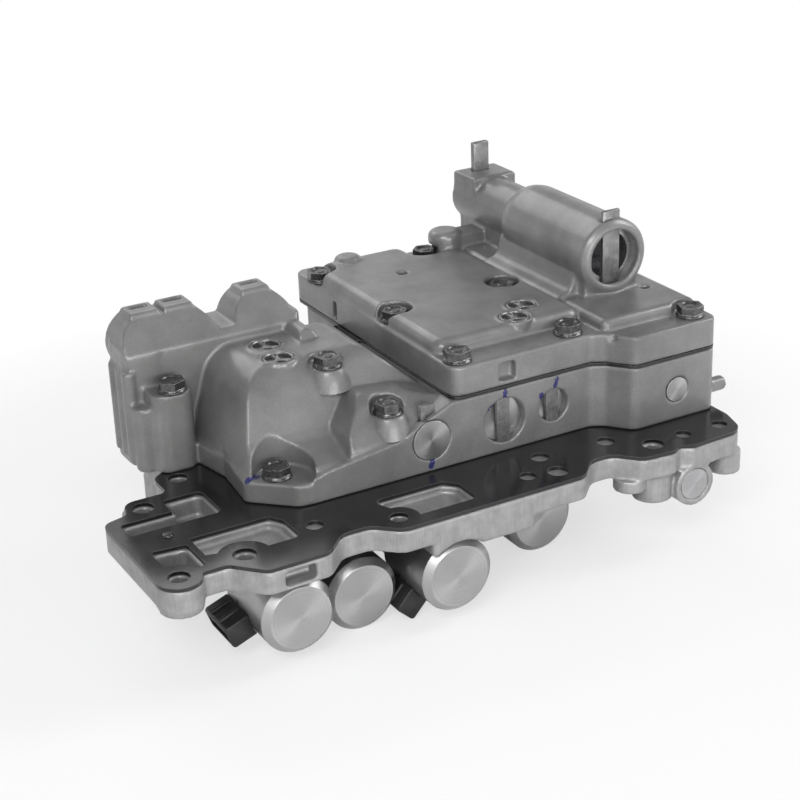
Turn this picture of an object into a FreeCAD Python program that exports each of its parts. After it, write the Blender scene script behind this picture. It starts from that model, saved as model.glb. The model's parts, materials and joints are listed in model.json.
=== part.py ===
import FreeCAD, Part
import math
import os

# A transmission valve body, in millimetres, +Z up.
# The origin is the front left case bolt hole, on the top joint face of the lower casting.
# +X runs along the front edge and +Y to the back. Every valve bore runs along Y.

Vector = FreeCAD.Vector
os.makedirs("parts", exist_ok=True)

# Joint faces and plates
front_seat = 11.0
plate_thickness = 1.6
upper_plate_thickness = 1.2
mid_height = 28.4
flange_height = 12.8
plateau_height = 6.0
mid_bottom = plate_thickness
mid_top = mid_bottom + mid_height
upper_bottom = mid_top + upper_plate_thickness
flange_top = upper_bottom + flange_height
plateau_top = flange_top + plateau_height

# Outer edges seen from above
tube_x = 228.7
tube_to_right_edge = 27.8
left_edge = -9.0
front_edge = -12.5
right_edge = tube_x + tube_to_right_edge
back_edge = 156.0
rear_step = 114.0
mid_front = 24.5
nose_front = 10.7
upper_left = 133.0
left_front = 94.6
upper_back = 160.0

# Lower casting
slab_depth = 9.5
skirt_depth = 15.0
ear_depth = 11.8
lobe_depth = 22.0
pocket_depth = 8.0
shallow_pocket_depth = 3.0
rim_height = 1.2
rail_depth = 24.0
rail_front = 96.0
foot_radius = 8.0
passage_to_mid = 10.0
passage_right = 125.5

# Case bolts, M6, and their holes
case_hole_radius = 3.4
case_boss_radius = 8.5

# Flange bolts, M6
bolt_radius = 3.0
bolt_hole_clearance = 0.2
bolt_flange_radius = 6.2
bolt_flange_height = 1.2
bolt_hex_across_flats = 10.0
bolt_hex_height = 3.6
bolt_tip_gap = 0.5
upper_bolt_length = 34.0
mid_bolt_reach = 8.0
bolt_boss_radius = 7.0

# Solenoids
can_radius = 15.75
can_length = 34.0
can_chamfer = 1.8
can_high_z = -28.0
can_low_z = -34.5
nozzle_radius = 7.0
nozzle_length = 38.0
nozzle_clearance = 0.1
nozzle_floor = 3.0
nozzle_flat = 5.2
solenoid_boss_radius = 12.0
solenoid_web = 14.0
plunger_radius = 3.4
plunger_neck_radius = 2.2
plunger_clearance = 0.08
plunger_travel = 2.0
plunger_depth = 20.0
clip_thickness = 2.0
clip_width = 19.0
clip_offset = 6.0
clip_clearance = 0.2
saddle_clearance = 0.75
connector_width = 10.0
connector_length = 25.0
connector_offset = 14.0
connector_seat = 0.1

# Valves
bore_clearance = 0.08
plug_clearance = 0.12
neck_share_land = 0.62
key_thickness = 2.0
key_clearance = 0.2
front_plug_length = 9.0
front_plug_key_width = 6.0
front_plug_key_y = 3.0
front_bore_step = 2.0
front_bore_depth = 72.0
front_spool_length = 34.0
front_valve_z = 15.5
mouth_recess = 3.5
boss_radius = 14.0
boss_floor = 6.5
block_fold = 51.0
block_slope_length = 11.5
boss_axis_z = 50.0
boss_crown = boss_axis_z + boss_radius - 0.1
block_top = 53.5
block_right = 101.5
hump_top = 47.0
boss_bore_radius = 6.0
boss_plug_length = 5.0
boss_key_width = 8.0
block_back = 118.0
pad_width = 13.0
pad_length = 12.0
pad_top = 64.6
spring_wire = 1.1

# Tube of the accumulator and the rear valve
tube_z = 65.5
tube_radius = 16.8
tube_face_radius = 14.6
tube_bore_radius = 12.2
tube_front = 47.0
tube_shoulder = 113.0
tube_rear = 163.5
tube_neck_radius = 12.1
tube_floor_y = 111.0
tube_flank = 24.0
piston_length = 27.0
piston_wall = 2.0
piston_clearance = 0.1
front_key_width = 8.7
front_key_y = 50.4
front_key_rise = 3.6
rear_bore_radius = 7.4
rear_bore_floor = 119.0
rear_plug_length = 9.0
rear_key_width = 8.5
rear_key_thickness = 3.0
rear_key_y = 155.5
rear_key_top = 92.0
rear_pad_top = 78.5

# Rounding of the cast forms
pad_soft_edge = 1.2
boss_soft_edge = 3.0
plateau_soft_edge = 4.5
hump_soft_edge = 4.0
screen_radius = 6.6
screen_depth = 2.2
screen_rim = 1.2
screen_rim_height = 0.6


def rounded_edges(corners, place):
    """Edges through corners (u, v, radius), with lines joined by tangent arcs."""
    count = len(corners)
    starts = []
    middles = []
    ends = []
    for number, (u, v, radius) in enumerate(corners):
        here = Vector(u, v, 0)
        before = Vector(corners[number - 1][0], corners[number - 1][1], 0) - here
        after_corner = corners[(number + 1) % count]
        after = Vector(after_corner[0], after_corner[1], 0) - here
        before.normalize()
        after.normalize()
        half = before.getAngle(after) / 2
        setback = radius / math.tan(half)
        starts.append(here + before * setback)
        ends.append(here + after * setback)
        towards = before + after
        if radius > 0:
            towards.normalize()
        middles.append(here + towards * (radius / math.sin(half) - radius))
    edges = []
    for number in range(count):
        start = place(starts[number])
        end = place(ends[number])
        if corners[number][2] > 0:
            edges.append(Part.Arc(start, place(middles[number]), end).toShape())
        next_start = place(starts[(number + 1) % count])
        if (next_start - end).Length > 1e-6:
            edges.append(Part.makeLine(end, next_start))
    return edges


def prism_z(corners, z0, z1):
    """An upright prism over corners (x, y, radius)."""
    wire = Part.Wire(rounded_edges(corners, lambda p: Vector(p.x, p.y, z0)))
    return Part.Face(wire).extrude(Vector(0, 0, z1 - z0))


def prism_y(corners, y0, y1):
    """A prism along Y over corners (x, z, radius)."""
    wire = Part.Wire(rounded_edges(corners, lambda p: Vector(p.x, y0, p.y)))
    return Part.Face(wire).extrude(Vector(0, y1 - y0, 0))


def block(x0, x1, y0, y1, z0, z1):
    return Part.makeBox(x1 - x0, y1 - y0, z1 - z0, Vector(x0, y0, z0))


def rod_z(radius, x, y, z0, z1):
    return Part.makeCylinder(radius, z1 - z0, Vector(x, y, z0), Vector(0, 0, 1))


def rod_y(radius, x, z, y0, y1):
    return Part.makeCylinder(radius, y1 - y0, Vector(x, y0, z), Vector(0, 1, 0))


def turned(profile, x, z):
    """A body turned about the line along Y at (x, z), from its profile (y, radius)."""
    points = [Vector(x + radius, y, z) for y, radius in profile]
    face = Part.Face(Part.makePolygon(points + points[:1]))
    return face.revolve(Vector(x, 0, z), Vector(0, 1, 0), 360)


def joined(shapes):
    body = shapes[0]
    for shape in shapes[1:]:
        body = body.fuse(shape)
    return body.removeSplitter()


def prism_x(corners, x0, x1):
    """A prism along X over corners (y, z, radius)."""
    wire = Part.Wire(rounded_edges(corners, lambda p: Vector(x0, p.x, p.y)))
    return Part.Face(wire).extrude(Vector(x1 - x0, 0, 0))


def top_softened(shape, radius):
    """The shape with its highest edges rounded."""
    top = shape.BoundBox.ZMax
    edges = [edge for edge in shape.Edges if edge.BoundBox.ZMin > top - 1e-4]
    return shape.makeFillet(radius, edges)


def spool(land, y0, y1, x, z):
    """A valve spool with two lands and a neck between them."""
    length = y1 - y0
    neck = land * neck_share_land
    neck_start = y0 + length * 0.3
    neck_end = y0 + length * 0.62
    profile = [
        (y0, 0), (y0, land), (neck_start, land), (neck_start, neck),
        (neck_end, neck), (neck_end, land), (y1, land), (y1, 0),
    ]
    return turned(profile, x, z)


def spring(radius, y0, y1, x, z, turns):
    """A coil of square wire along Y, made of straight steps, eight to the turn."""
    steps = int(round(turns * 8))
    half = spring_wire / 2
    middle = radius - half
    rise = (y1 - y0 - spring_wire) / steps
    sections = []
    for step in range(steps + 1):
        angle = math.pi * step / 4
        y = y0 + half + rise * step
        corners = []
        for out, along in ((-half, -half), (half, -half), (half, half), (-half, half)):
            across = middle + out
            corners.append(Vector(x + across * math.cos(angle), y + along, z + across * math.sin(angle)))
        sections.append(Part.makePolygon(corners + corners[:1]))
    return Part.makeLoft(sections, True, True)


def flange_bolt(x, y, seat, tip):
    """A hex flange bolt standing on seat, with its shank down to tip."""
    flange = rod_z(bolt_flange_radius, x, y, seat, seat + bolt_flange_height)
    shank = rod_z(bolt_radius, x, y, tip, seat)
    across_corners = bolt_hex_across_flats / math.cos(math.pi / 6) / 2
    corners = []
    for side in range(6):
        angle = math.pi * side / 3
        corners.append((x + across_corners * math.cos(angle), y + across_corners * math.sin(angle), 0))
    top = seat + bolt_flange_height + bolt_hex_height
    return joined([flange, shank, prism_z(corners, seat + bolt_flange_height, top)])


# Case bolt holes: x, y, radius in the plate, depth of the lower casting's boss
case_holes = {
    "datum": (0.0, 0.0, 4.35, ear_depth),
    "front_left": (27.9, 2.7, 4.7, ear_depth),
    "front_middle": (91.1, -3.0, 3.9, slab_depth),
    "front_right": (212.0, -3.9, 4.8, lobe_depth),
    "left_ear": (10.0, 59.6, 4.6, ear_depth),
    "left_rear": (32.4, 76.9, 4.2, ear_depth),
}

# Other holes of the lower plate: x, y, radius
plate_ports = [
    (60.5, 9.2, 3.7),
    (152.3, -0.4, 3.6),
    (164.9, -3.3, 4.4),
    (166.1, 11.7, 4.0),
    (197.4, 9.4, 4.0),
    (tube_x - 0.3, -2.9, 3.5),
    (right_edge - 9.4, -3.4, 3.5),
    (9.5, 32.9, 2.5),
]

# Upper casting bolts: x, y
upper_bolts = [
    (137.2, 149.1),
    (140.9, 85.6),
    (191.8, 147.6),
    (139.6, 32.0),
    (196.3, 87.3),
    (193.3, 31.5),
    (right_edge - 9.0, 19.0),
]

# Bolts through the mid casting: x, y, seat
mid_bolts = [
    (59.2, 38.2, front_seat),
    (37.2, 87.0, 36.0),
    (94.0, 58.0, 43.5),
    (108.0, 34.0, 28.0),
]

# Solenoids: x, front face y, z, direction and reach of the connector
solenoids = {
    "a": (45.9, -5.0, can_high_z, 200.0, 26.0),
    "b": (79.4, 6.9, can_low_z, 125.0, 21.0),
    "c": (113.4, -10.5, can_high_z, 227.0, 26.0),
    "d": (174.6, 23.4, can_low_z, 90.0, 24.5),
}

# Front valves of the mid casting: x, z, mouth radius, front face y, recess of the plug
front_valves = {
    "a": (122.5, front_valve_z, 8.6, mid_front, 0.0),
    "b": (157.4, front_valve_z, 9.8, mid_front, mouth_recess),
    "c": (181.5, front_valve_z + 1.0, 7.1, mid_front, mouth_recess),
    "d": (tube_x + 6.5, front_valve_z, 5.5, nose_front, 0.0),
}

# Valves in the round bosses of the left block: x, front end of the boss, bore floor y, spool length
boss_valves = {
    "a": (35.5, left_front, left_front + boss_floor, 5.5),
    "b": (50.5, left_front, left_front + boss_floor, 5.5),
    "c": (85.5, left_front, left_front + boss_floor, 5.5),
}

plate_outline = [
    (left_edge, left_edge, 9.0),
    (8.5, left_edge, 8.0),
    (8.5, -1.2, 2.0),
    (19.0, -1.2, 4.0),
    (30.0, front_edge - 1.0, 5.0),
    (56.0, front_edge - 0.5, 6.0),
    (66.0, -3.0, 8.0),
    (78.0, -3.0, 8.0),
    (88.0, front_edge, 8.0),
    (172.0, front_edge, 6.0),
    (182.0, -2.3, 8.0),
    (192.0, -2.3, 6.0),
    (201.0, front_edge, 6.0),
    (tube_x - 12.7, front_edge - 1.5, 4.0),
    (tube_x - 8.0, front_edge + 1.6, 2.0),
    (tube_x - 2.7, front_edge - 1.5, 4.0),
    (right_edge - 4.5, front_edge, 8.0),
    (right_edge, 3.0, 8.0),
    (right_edge, back_edge, 12.0),
    (112.0, back_edge, 10.0),
    (112.0, rear_step, 6.0),
    (29.5, rear_step, 8.0),
    (29.5, 86.0, 0.0),
    (23.5, 82.0, 6.0),
    (23.5, 67.4, 3.0),
    (4.5, 67.4, 6.0),
    (2.5, 57.5, 4.0),
    (left_edge, 54.5, 5.0),
]


def window_shapes(z0, z1, inset):
    """The open windows at the plate's left end, each smaller all round by inset."""
    near_ear = rod_z(8.0 + inset, case_holes["left_ear"][0], case_holes["left_ear"][1], z0, z1)
    near_datum = rod_z(9.5 + inset, 0, 0, z0, z1)
    front_hole = case_holes["front_left"]
    near_front = rod_z(10.5 + inset, front_hole[0], front_hole[1], z0, z1)
    rear = prism_z(
        [
            (-3.5 + inset, 39.5 + inset, 2.0), (35.5 - inset, 39.5 + inset, 3.0),
            (35.5 - inset, 61.0 - inset, 3.0), (18.5 + inset, 61.0 - inset, 2.0),
            (18.5 + inset, 50.5 - inset, 0.0), (-3.5 + inset, 50.5 - inset, 2.0),
        ],
        z0, z1,
    ).cut(near_ear)
    middle = prism_z(
        [
            (15.0 + inset, 25.5 - inset, 0.0), (15.0 + inset, 10.0 + inset, 0.0),
            (39.0, 4.0 + inset, 0.0), (52.4 - inset, 4.0 + inset, 3.0), (52.4 - inset, 19.0, 3.0),
            (49.0 - inset, 25.5 - inset, 2.0),
        ],
        z0, z1,
    ).cut(near_front)
    front = prism_z(
        [
            (-2.0 + inset, 23.5 - inset, 2.0), (-2.0 + inset, 7.0, 0.0), (10.0, 3.0 + inset, 0.0),
            (12.5 - inset, 3.0 + inset, 2.0), (12.5 - inset, 22.0 - inset, 2.0),
        ],
        z0, z1,
    ).cut(near_datum)
    return {"rear": rear, "middle": middle, "front": front}


def passage(z0, z1, inset):
    """The long opening in front of the mid casting, beside a case bolt."""
    hole = case_holes["front_middle"]
    left = hole[0] - 3.1 + inset
    front = front_edge + 7.0 + inset
    back = mid_front - passage_to_mid - inset
    right = passage_right - inset
    opening = prism_z(
        [
            (left, back, 3.0), (left + 9.0, front, 3.0), (right, front, 3.0),
            (right, back - 5.5 + inset, 3.0), (right - 4.5, back, 3.0),
        ],
        z0, z1,
    )
    return opening.cut(rod_z(case_boss_radius + inset, hole[0], hole[1], z0, z1))


# Lower separator plate
def lower_separator_plate():
    plate = prism_z(plate_outline, 0, plate_thickness)
    cutters = list(window_shapes(-1, plate_thickness + 1, 0.0).values())
    cutters.append(passage(-1, plate_thickness + 1, 0.0))
    for x, y, radius, depth in case_holes.values():
        cutters.append(rod_z(radius, x, y, -1, plate_thickness + 1))
    for x, y, radius in plate_ports:
        cutters.append(rod_z(radius, x, y, -1, plate_thickness + 1))
    for x, y, seat in mid_bolts:
        cutters.append(rod_z(bolt_radius + bolt_hole_clearance, x, y, -1, plate_thickness + 1))
    return plate.cut(cutters)


def solenoid_seat(x, front, z):
    """The boss that a solenoid's nozzle goes into, with the web that joins it to the slab."""
    start = front + can_length
    boss = rod_y(solenoid_boss_radius, x, z, start, rail_front + 4.0)
    web = block(x - solenoid_web / 2, x + solenoid_web / 2, start, rail_front + 4.0, z, -slab_depth)
    return [boss, web]


def clip_slot(x, front, z):
    """The slot that opens below a solenoid's boss for its clip."""
    half = clip_width / 2 + clip_clearance
    start = front + can_length + clip_offset - clip_clearance
    end = start + clip_thickness + 2 * clip_clearance
    return block(x - half, x + half, start, end, z - solenoid_boss_radius - 1, z + nozzle_flat + clip_clearance)


# Lower casting
def lower_casting():
    parts = [prism_z(plate_outline, -slab_depth, 0)]
    for x, y, radius, depth in case_holes.values():
        if depth > slab_depth:
            parts.append(rod_z(case_boss_radius, x, y, -depth, 0))
    saddle_x = solenoids["c"][0]
    skirt = [(saddle_x - 12.5, front_edge, 2.0), (150.0, front_edge, 4.0), (146.0, 4.0, 4.0), (101.0, 8.0, 4.0)]
    parts.append(prism_z(skirt, -skirt_depth, -slab_depth))
    parts.append(rod_z(7.0, case_holes["front_right"][0] - 12.0, -4.5, -skirt_depth, -slab_depth))
    parts.append(rod_z(7.0, right_edge - 7.5, -5.0, -lobe_depth + 3.0, -slab_depth))
    gallery_x, gallery_z, gallery_radius = gallery
    parts.append(rod_y(gallery_radius + 2.6, gallery_x, gallery_z, front_edge - 1.0, 26.0))
    parts.append(block(gallery_x - 7.0, gallery_x + 7.0, front_edge, 26.0, gallery_z, -slab_depth))
    for x, front, z, turn, reach in solenoids.values():
        parts.extend(solenoid_seat(x, front, z))
    rail = [
        (29.5, rail_front, 5.0), (right_edge - 8.0, rail_front, 5.0),
        (right_edge - 8.0, rear_step, 5.0), (29.5, rear_step, 5.0),
    ]
    parts.append(prism_z(rail, -rail_depth, -slab_depth))
    for x in (44.0, right_edge - 20.0):
        parts.append(rod_z(foot_radius, x, rear_step - foot_radius - 1.0, can_low_z - can_radius, -rail_depth))
    body = joined(parts)
    windows = window_shapes(-pocket_depth, 1, rim_height)
    middle = window_shapes(-shallow_pocket_depth, 1, rim_height)["middle"]
    cutters = [windows["rear"], windows["front"], middle]
    cutters.append(passage(-shallow_pocket_depth, 1, rim_height))
    for x, y, radius, depth in case_holes.values():
        cutters.append(rod_z(case_hole_radius, x, y, -depth - 1, 1))
    for x, y, seat in mid_bolts:
        cutters.append(rod_z(bolt_radius + bolt_hole_clearance, x, y, -mid_bolt_reach - bolt_tip_gap, 1))
    for x, front, z, turn, reach in solenoids.values():
        start = front + can_length - 1
        end = front + can_length + nozzle_length
        cutters.append(rod_y(nozzle_radius + nozzle_clearance, x, z, start, end))
        cutters.append(clip_slot(x, front, z))
    saddle = solenoids["c"]
    cutters.append(rod_y(can_radius + saddle_clearance, saddle[0], saddle[2], front_edge - 9, 10))
    cutters.append(rod_y(gallery_radius, gallery_x, gallery_z, front_edge - 5, 6.0))
    recess = [(37.0, -8.0, 1.0), (50.0, -8.0, 1.0), (50.0, -1.8, 1.0), (37.0, -1.8, 1.0)]
    cutters.append(prism_y(recess, front_edge - 4, front_edge + 6))
    return body.cut(cutters)


# Cross gallery of the lower casting, closed by a plug: x, z, radius
gallery = (tube_x - 1.4, -17.3, 7.0)


def gallery_plug():
    x, z, radius = gallery
    start = front_edge - 0.6
    return turned([(start, 0), (start, radius - plug_clearance), (5.6, radius - plug_clearance), (5.6, 0)], x, z)


# Solenoids
def solenoid_can(x, front, z):
    back = front + can_length
    body = turned(
        [
            (front, 0), (front, can_radius - can_chamfer), (front + can_chamfer, can_radius),
            (back, can_radius), (back, 0),
        ],
        x, z,
    )
    return body.cut(rod_y(plunger_radius + plunger_clearance, x, z, back - plunger_depth, back + 1))


def solenoid_nozzle(x, front, z):
    start = front + can_length
    end = start + nozzle_length - nozzle_clearance
    bore = plunger_radius + plunger_clearance
    body = turned(
        [
            (start, bore), (start, nozzle_radius), (end, nozzle_radius), (end, 0),
            (end - nozzle_floor, 0), (end - nozzle_floor, bore),
        ],
        x, z,
    )
    slot_start = start + clip_offset
    slot_end = slot_start + clip_thickness
    left = block(x - nozzle_radius - 1, x - nozzle_flat, slot_start, slot_end, z - 9, z + 9)
    right = block(x + nozzle_flat, x + nozzle_radius + 1, slot_start, slot_end, z - 9, z + 9)
    return body.cut([left, right])


def solenoid_clip(x, front, z):
    start = front + can_length + clip_offset + clip_clearance / 4
    end = start + clip_thickness - clip_clearance / 2
    half = clip_width / 2
    plate = block(x - half, x + half, start, end, z - solenoid_boss_radius, z + nozzle_flat)
    gap = nozzle_flat + clip_clearance / 2
    return plate.cut(block(x - gap, x + gap, start - 1, end + 1, z - nozzle_radius - 0.3, z + 9))


def solenoid_plunger(x, front, z):
    back = front + can_length
    start = back - plunger_depth + 0.5
    end = back + nozzle_length - nozzle_floor - plunger_travel - 6.0
    neck_start = back + 8.0
    neck_end = back + 20.0
    profile = [
        (start, 0), (start, plunger_radius), (neck_start, plunger_radius), (neck_start, plunger_neck_radius),
        (neck_end, plunger_neck_radius), (neck_end, plunger_radius), (end, plunger_radius), (end, 0),
    ]
    return turned(profile, x, z)


def solenoid_connector(x, front, z, turn, reach):
    """The moulded connector on the side of a can, turned about the can's axis."""
    start = front + connector_offset
    end = start + connector_length
    half = connector_width / 2
    corners = [(9.0, -half, 0.0), (reach, -half, 1.5), (reach, half, 1.5), (9.0, half, 0.0)]
    body = prism_y(corners, start, min(end, front + can_length))
    body.rotate(Vector(0, 0, 0), Vector(0, 1, 0), -turn)
    body.translate(Vector(x, 0, z))
    return body.cut(rod_y(can_radius + connector_seat, x, z, front, front + can_length + 1))


# Round screens on the castings: x, y
hump_screens = [(78.6, 84.0), (77.0, 68.6)]
plateau_screens = [(186.4, 56.4), (176.6, 46.6)]


def hump():
    """The rounded body of the mid casting in front of its left block."""
    from_the_side = [
        (98.0, mid_bottom, 0.0), (98.0, hump_top, 0.0), (58.0, hump_top, 16.0), (45.0, 21.0, 8.0),
        (mid_front + 1.5, 15.0, 0.0), (mid_front + 1.5, mid_bottom, 0.0),
    ]
    from_the_front = [
        (46.0, mid_bottom, 0.0), (50.5, 22.0, 10.0), (58.0, hump_top, 14.0), (112.0, hump_top, 12.0),
        (upper_left - 2.0, mid_top, 0.0), (upper_left + 2.0, mid_top, 0.0), (upper_left + 2.0, mid_bottom, 0.0),
    ]
    from_above = [
        (46.3, 84.0, 2.0), (49.0, 66.0, 6.0), (47.0, 43.0, 6.0), (61.0, 27.5, 8.0),
        (upper_left + 2.0, 27.5, 0.0), (upper_left + 2.0, 96.0, 0.0), (46.3, 96.0, 0.0),
    ]
    body = prism_x(from_the_side, 40.0, upper_left + 3.0)
    body = body.common(prism_y(from_the_front, 20.0, 100.0))
    return body.common(prism_z(from_above, mid_bottom, hump_top + 1.0))


def shoulder():
    """The rise between the front wall and the hump, with a bolt sunk into it."""
    seat = mid_bolts[3][2]
    from_the_side = [
        (mid_front + 1.5, mid_bottom, 0.0), (mid_front + 1.5, seat - 9.0, 3.0), (36.0, seat + 3.5, 8.0),
        (62.0, hump_top - 3.0, 6.0), (70.0, hump_top - 3.0, 0.0), (70.0, mid_bottom, 0.0),
    ]
    from_the_front = [
        (82.0, mid_bottom, 0.0), (88.0, seat - 4.0, 6.0), (98.0, seat + 7.0, 8.0), (118.0, seat + 5.5, 8.0),
        (upper_left - 2.0, mid_top, 0.0), (upper_left + 2.0, mid_top, 0.0), (upper_left + 2.0, mid_bottom, 0.0),
    ]
    return prism_x(from_the_side, 78.0, upper_left + 3.0).common(prism_y(from_the_front, 20.0, 75.0))


def block_slope():
    """The space under the sloping front of the left block and its bosses."""
    profile = [
        (left_front, mid_bottom, 0.0), (left_front, block_fold, 3.0), (left_front + block_slope_length, boss_crown, 8.0),
        (block_back, boss_crown, 0.0), (block_back, mid_bottom, 0.0),
    ]
    return prism_x(profile, 10.0, upper_left)


# Mid casting
def mid_outline():
    return [
        (45.3, 84.1, 3.0),
        (48.6, 66.2, 3.0),
        (45.9, 41.1, 4.0),
        (62.3, mid_front + 0.7, 6.0),
        (68.0, mid_front, 0.0),
        (200.0, mid_front, 6.0),
        (205.4, 21.0, 4.0),
        (213.5, nose_front, 6.0),
        (right_edge, nose_front, 5.0),
        (right_edge, upper_back, 10.0),
        (112.0, upper_back, 8.0),
        (112.0, block_back, 5.0),
        (24.0, block_back, 4.0),
        (21.0, 112.0, 4.0),
        (21.0, left_front, 5.0),
        (44.5, left_front, 2.0),
    ]


def mid_casting():
    parts = []
    wall_top = front_seat
    parts.append(prism_z(mid_outline(), mid_bottom, wall_top))
    under_upper = [
        (upper_left, mid_front, 3.0), (200.0, mid_front, 6.0), (205.4, 21.0, 4.0),
        (213.5, nose_front, 6.0), (right_edge, nose_front, 5.0), (right_edge, upper_back, 10.0),
        (upper_left, upper_back, 6.0),
    ]
    parts.append(prism_z(under_upper, wall_top, mid_top))
    front_wall = [
        (63.0, wall_top, 0.0), (76.0, 14.5, 0.0), (108.0, 19.0, 0.0), (upper_left, mid_top, 0.0),
        (upper_left + 4.0, mid_top, 0.0), (upper_left + 4.0, wall_top, 0.0),
    ]
    parts.append(prism_y(front_wall, mid_front, 44.0))
    parts.append(hump())
    parts.append(shoulder())
    parts.append(block(block_right - 6.0, upper_left + 2.0, 60.0, block_back, mid_bottom, mid_top))
    left_block = [
        (21.0, left_front, 5.0), (block_right, left_front, 5.0), (block_right, block_back, 5.0),
        (24.0, block_back, 4.6), (21.0, 112.0, 4.6),
    ]
    slope = block_slope()
    parts.append(prism_z(left_block, mid_bottom, block_top).common(slope))
    column = [(27.5, 82.0, 6.0), (45.5, 82.0, 6.0), (45.5, left_front + 6.0, 0.0), (27.5, left_front + 6.0, 0.0)]
    parts.append(prism_z(column, mid_bottom, mid_bolts[1][2]))
    for x, front, floor, length in boss_valves.values():
        parts.append(rod_y(boss_radius, x, boss_axis_z, front - 1.0, block_back).common(slope))
        pad_back = block_back - 1.0
        half = pad_width / 2
        pad = block(x - half, x + half, pad_back - pad_length, pad_back, boss_axis_z, pad_top)
        parts.append(top_softened(pad, pad_soft_edge))
    parts.append(rod_z(5.0, 26.0, 92.0, mid_bottom, mid_top))
    for y in (96.5, 103.5, 110.5):
        parts.append(rod_z(3.0, 22.5, y, mid_bottom + 4.0, boss_axis_z - 6.0))
    rib = block(block_right - 9.0, block_right - 0.5, 80.0, left_front + 6.0, mid_top, block_fold)
    parts.append(top_softened(rib, hump_soft_edge))
    nub = Part.makeCylinder(3.3, 8.0, Vector(right_edge - 0.5, 16.5, 10.0), Vector(1, 0, 0))
    parts.append(nub)
    for x, y in hump_screens:
        parts.append(screen_rim_ring(x, y, hump_top))
    body = joined(parts)
    cutters = []
    x, y, seat = mid_bolts[0]
    cutters.append(rod_z(12.5, x + 1.3, y - 3.7, seat, block_top + 1))
    x, y, seat = mid_bolts[1]
    cutters.append(rod_z(bolt_boss_radius + 0.8, x, y, seat, boss_axis_z + boss_radius))
    x, y, seat = mid_bolts[2]
    cutters.append(rod_z(bolt_boss_radius + 1.0, x, y, seat, boss_axis_z + boss_radius))
    x, y, seat = mid_bolts[3]
    cutters.append(rod_z(bolt_boss_radius + 0.5, x, y, seat, hump_top + 1))
    for x, y, seat in mid_bolts:
        cutters.append(rod_z(bolt_radius + bolt_hole_clearance, x, y, -2, boss_axis_z))
    for x, y in upper_bolts:
        tip = flange_top - upper_bolt_length - bolt_tip_gap
        cutters.append(rod_z(bolt_radius + bolt_hole_clearance, x, y, tip, mid_top + 1))
    for x, z, radius, face, recess in front_valves.values():
        cutters.append(rod_y(radius, x, z, face - 5, face + recess + front_plug_length))
        cutters.append(rod_y(radius - front_bore_step, x, z, face, face + front_bore_depth))
        cutters.append(front_plug_key(x, z, radius, face, recess, key_clearance))
    for x, front, floor, length in boss_valves.values():
        cutters.append(rod_y(boss_bore_radius, x, boss_axis_z, floor, block_back + 1))
        half = boss_key_width / 2 + key_clearance
        start = boss_key_y - key_clearance
        end = boss_key_y + key_thickness + key_clearance
        cutters.append(block(x - half, x + half, start, end, boss_axis_z, pad_top + 1))
    for x, y in hump_screens:
        cutters.append(screen_recess(x, y, hump_top))
    return body.cut(cutters)


def front_plug_key(x, z, radius, face, recess, extra):
    """The flat key that holds a front plug: in front of a recessed plug, through a flush one."""
    half = front_plug_key_width / 2 + extra
    start = face + front_plug_key_y
    low = z - 1.0
    if recess > 0:
        start = face + recess - key_thickness - 2 * key_clearance
        low = z - radius - 1.0
    return block(x - half, x + half, start - extra, start + key_thickness + extra, low - extra, mid_top - 0.2 + extra)


def screen_rim_ring(x, y, top):
    return rod_z(screen_radius + screen_rim, x, y, top - screen_depth - 4.0, top + screen_rim_height)


def screen_recess(x, y, top):
    """A round opening crossed by three spokes."""
    hole = rod_z(screen_radius, x, y, top - screen_depth - 2.0, top + screen_rim_height + 12.0)
    spokes = []
    for angle in (90, 210, 330):
        spoke = block(0, screen_radius + 1, -screen_rim / 2, screen_rim / 2, top - screen_depth - 3.0, top)
        spoke.rotate(Vector(0, 0, 0), Vector(0, 0, 1), angle)
        spoke.translate(Vector(x, y, 0))
        spokes.append(spoke)
    return hole.cut(spokes)


boss_key_y = block_back - 6.0


def front_plug(x, z, radius, face, recess):
    start = face + recess
    end = start + front_plug_length
    size = radius - plug_clearance
    body = turned([(start, 0), (start, size), (end, size), (end, 0)], x, z)
    return body.cut(front_plug_key(x, z, radius, face, recess, key_clearance))


def front_spool_span(face, recess):
    start = face + recess + front_plug_length + 0.4
    return start, start + front_spool_length


def boss_spool_span(length):
    end = block_back - boss_plug_length - 2.4
    return end - length, end


# Upper separator plate
def upper_outline():
    return [
        (upper_left, mid_front, 5.0),
        (200.0, mid_front, 6.0),
        (205.4, 21.0, 4.0),
        (213.5, nose_front, 6.0),
        (right_edge, nose_front, 5.0),
        (right_edge, upper_back, 10.0),
        (146.0, upper_back, 6.0),
        (146.0, upper_back + 8.0, 6.0),
        (upper_left, upper_back + 8.0, 6.0),
    ]


def upper_separator_plate():
    tongue = [(upper_left + 4.0, 101.0, 0.0), (125.2, 103.5, 3.0), (125.2, 124.0, 3.0), (upper_left + 4.0, 124.0, 0.0)]
    plate = joined([prism_z(upper_outline(), mid_top, upper_bottom), prism_z(tongue, mid_top, upper_bottom)])
    cutters = []
    for x, y in upper_bolts:
        cutters.append(rod_z(bolt_radius + bolt_hole_clearance, x, y, mid_top - 1, upper_bottom + 1))
    return plate.cut(cutters)


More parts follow.
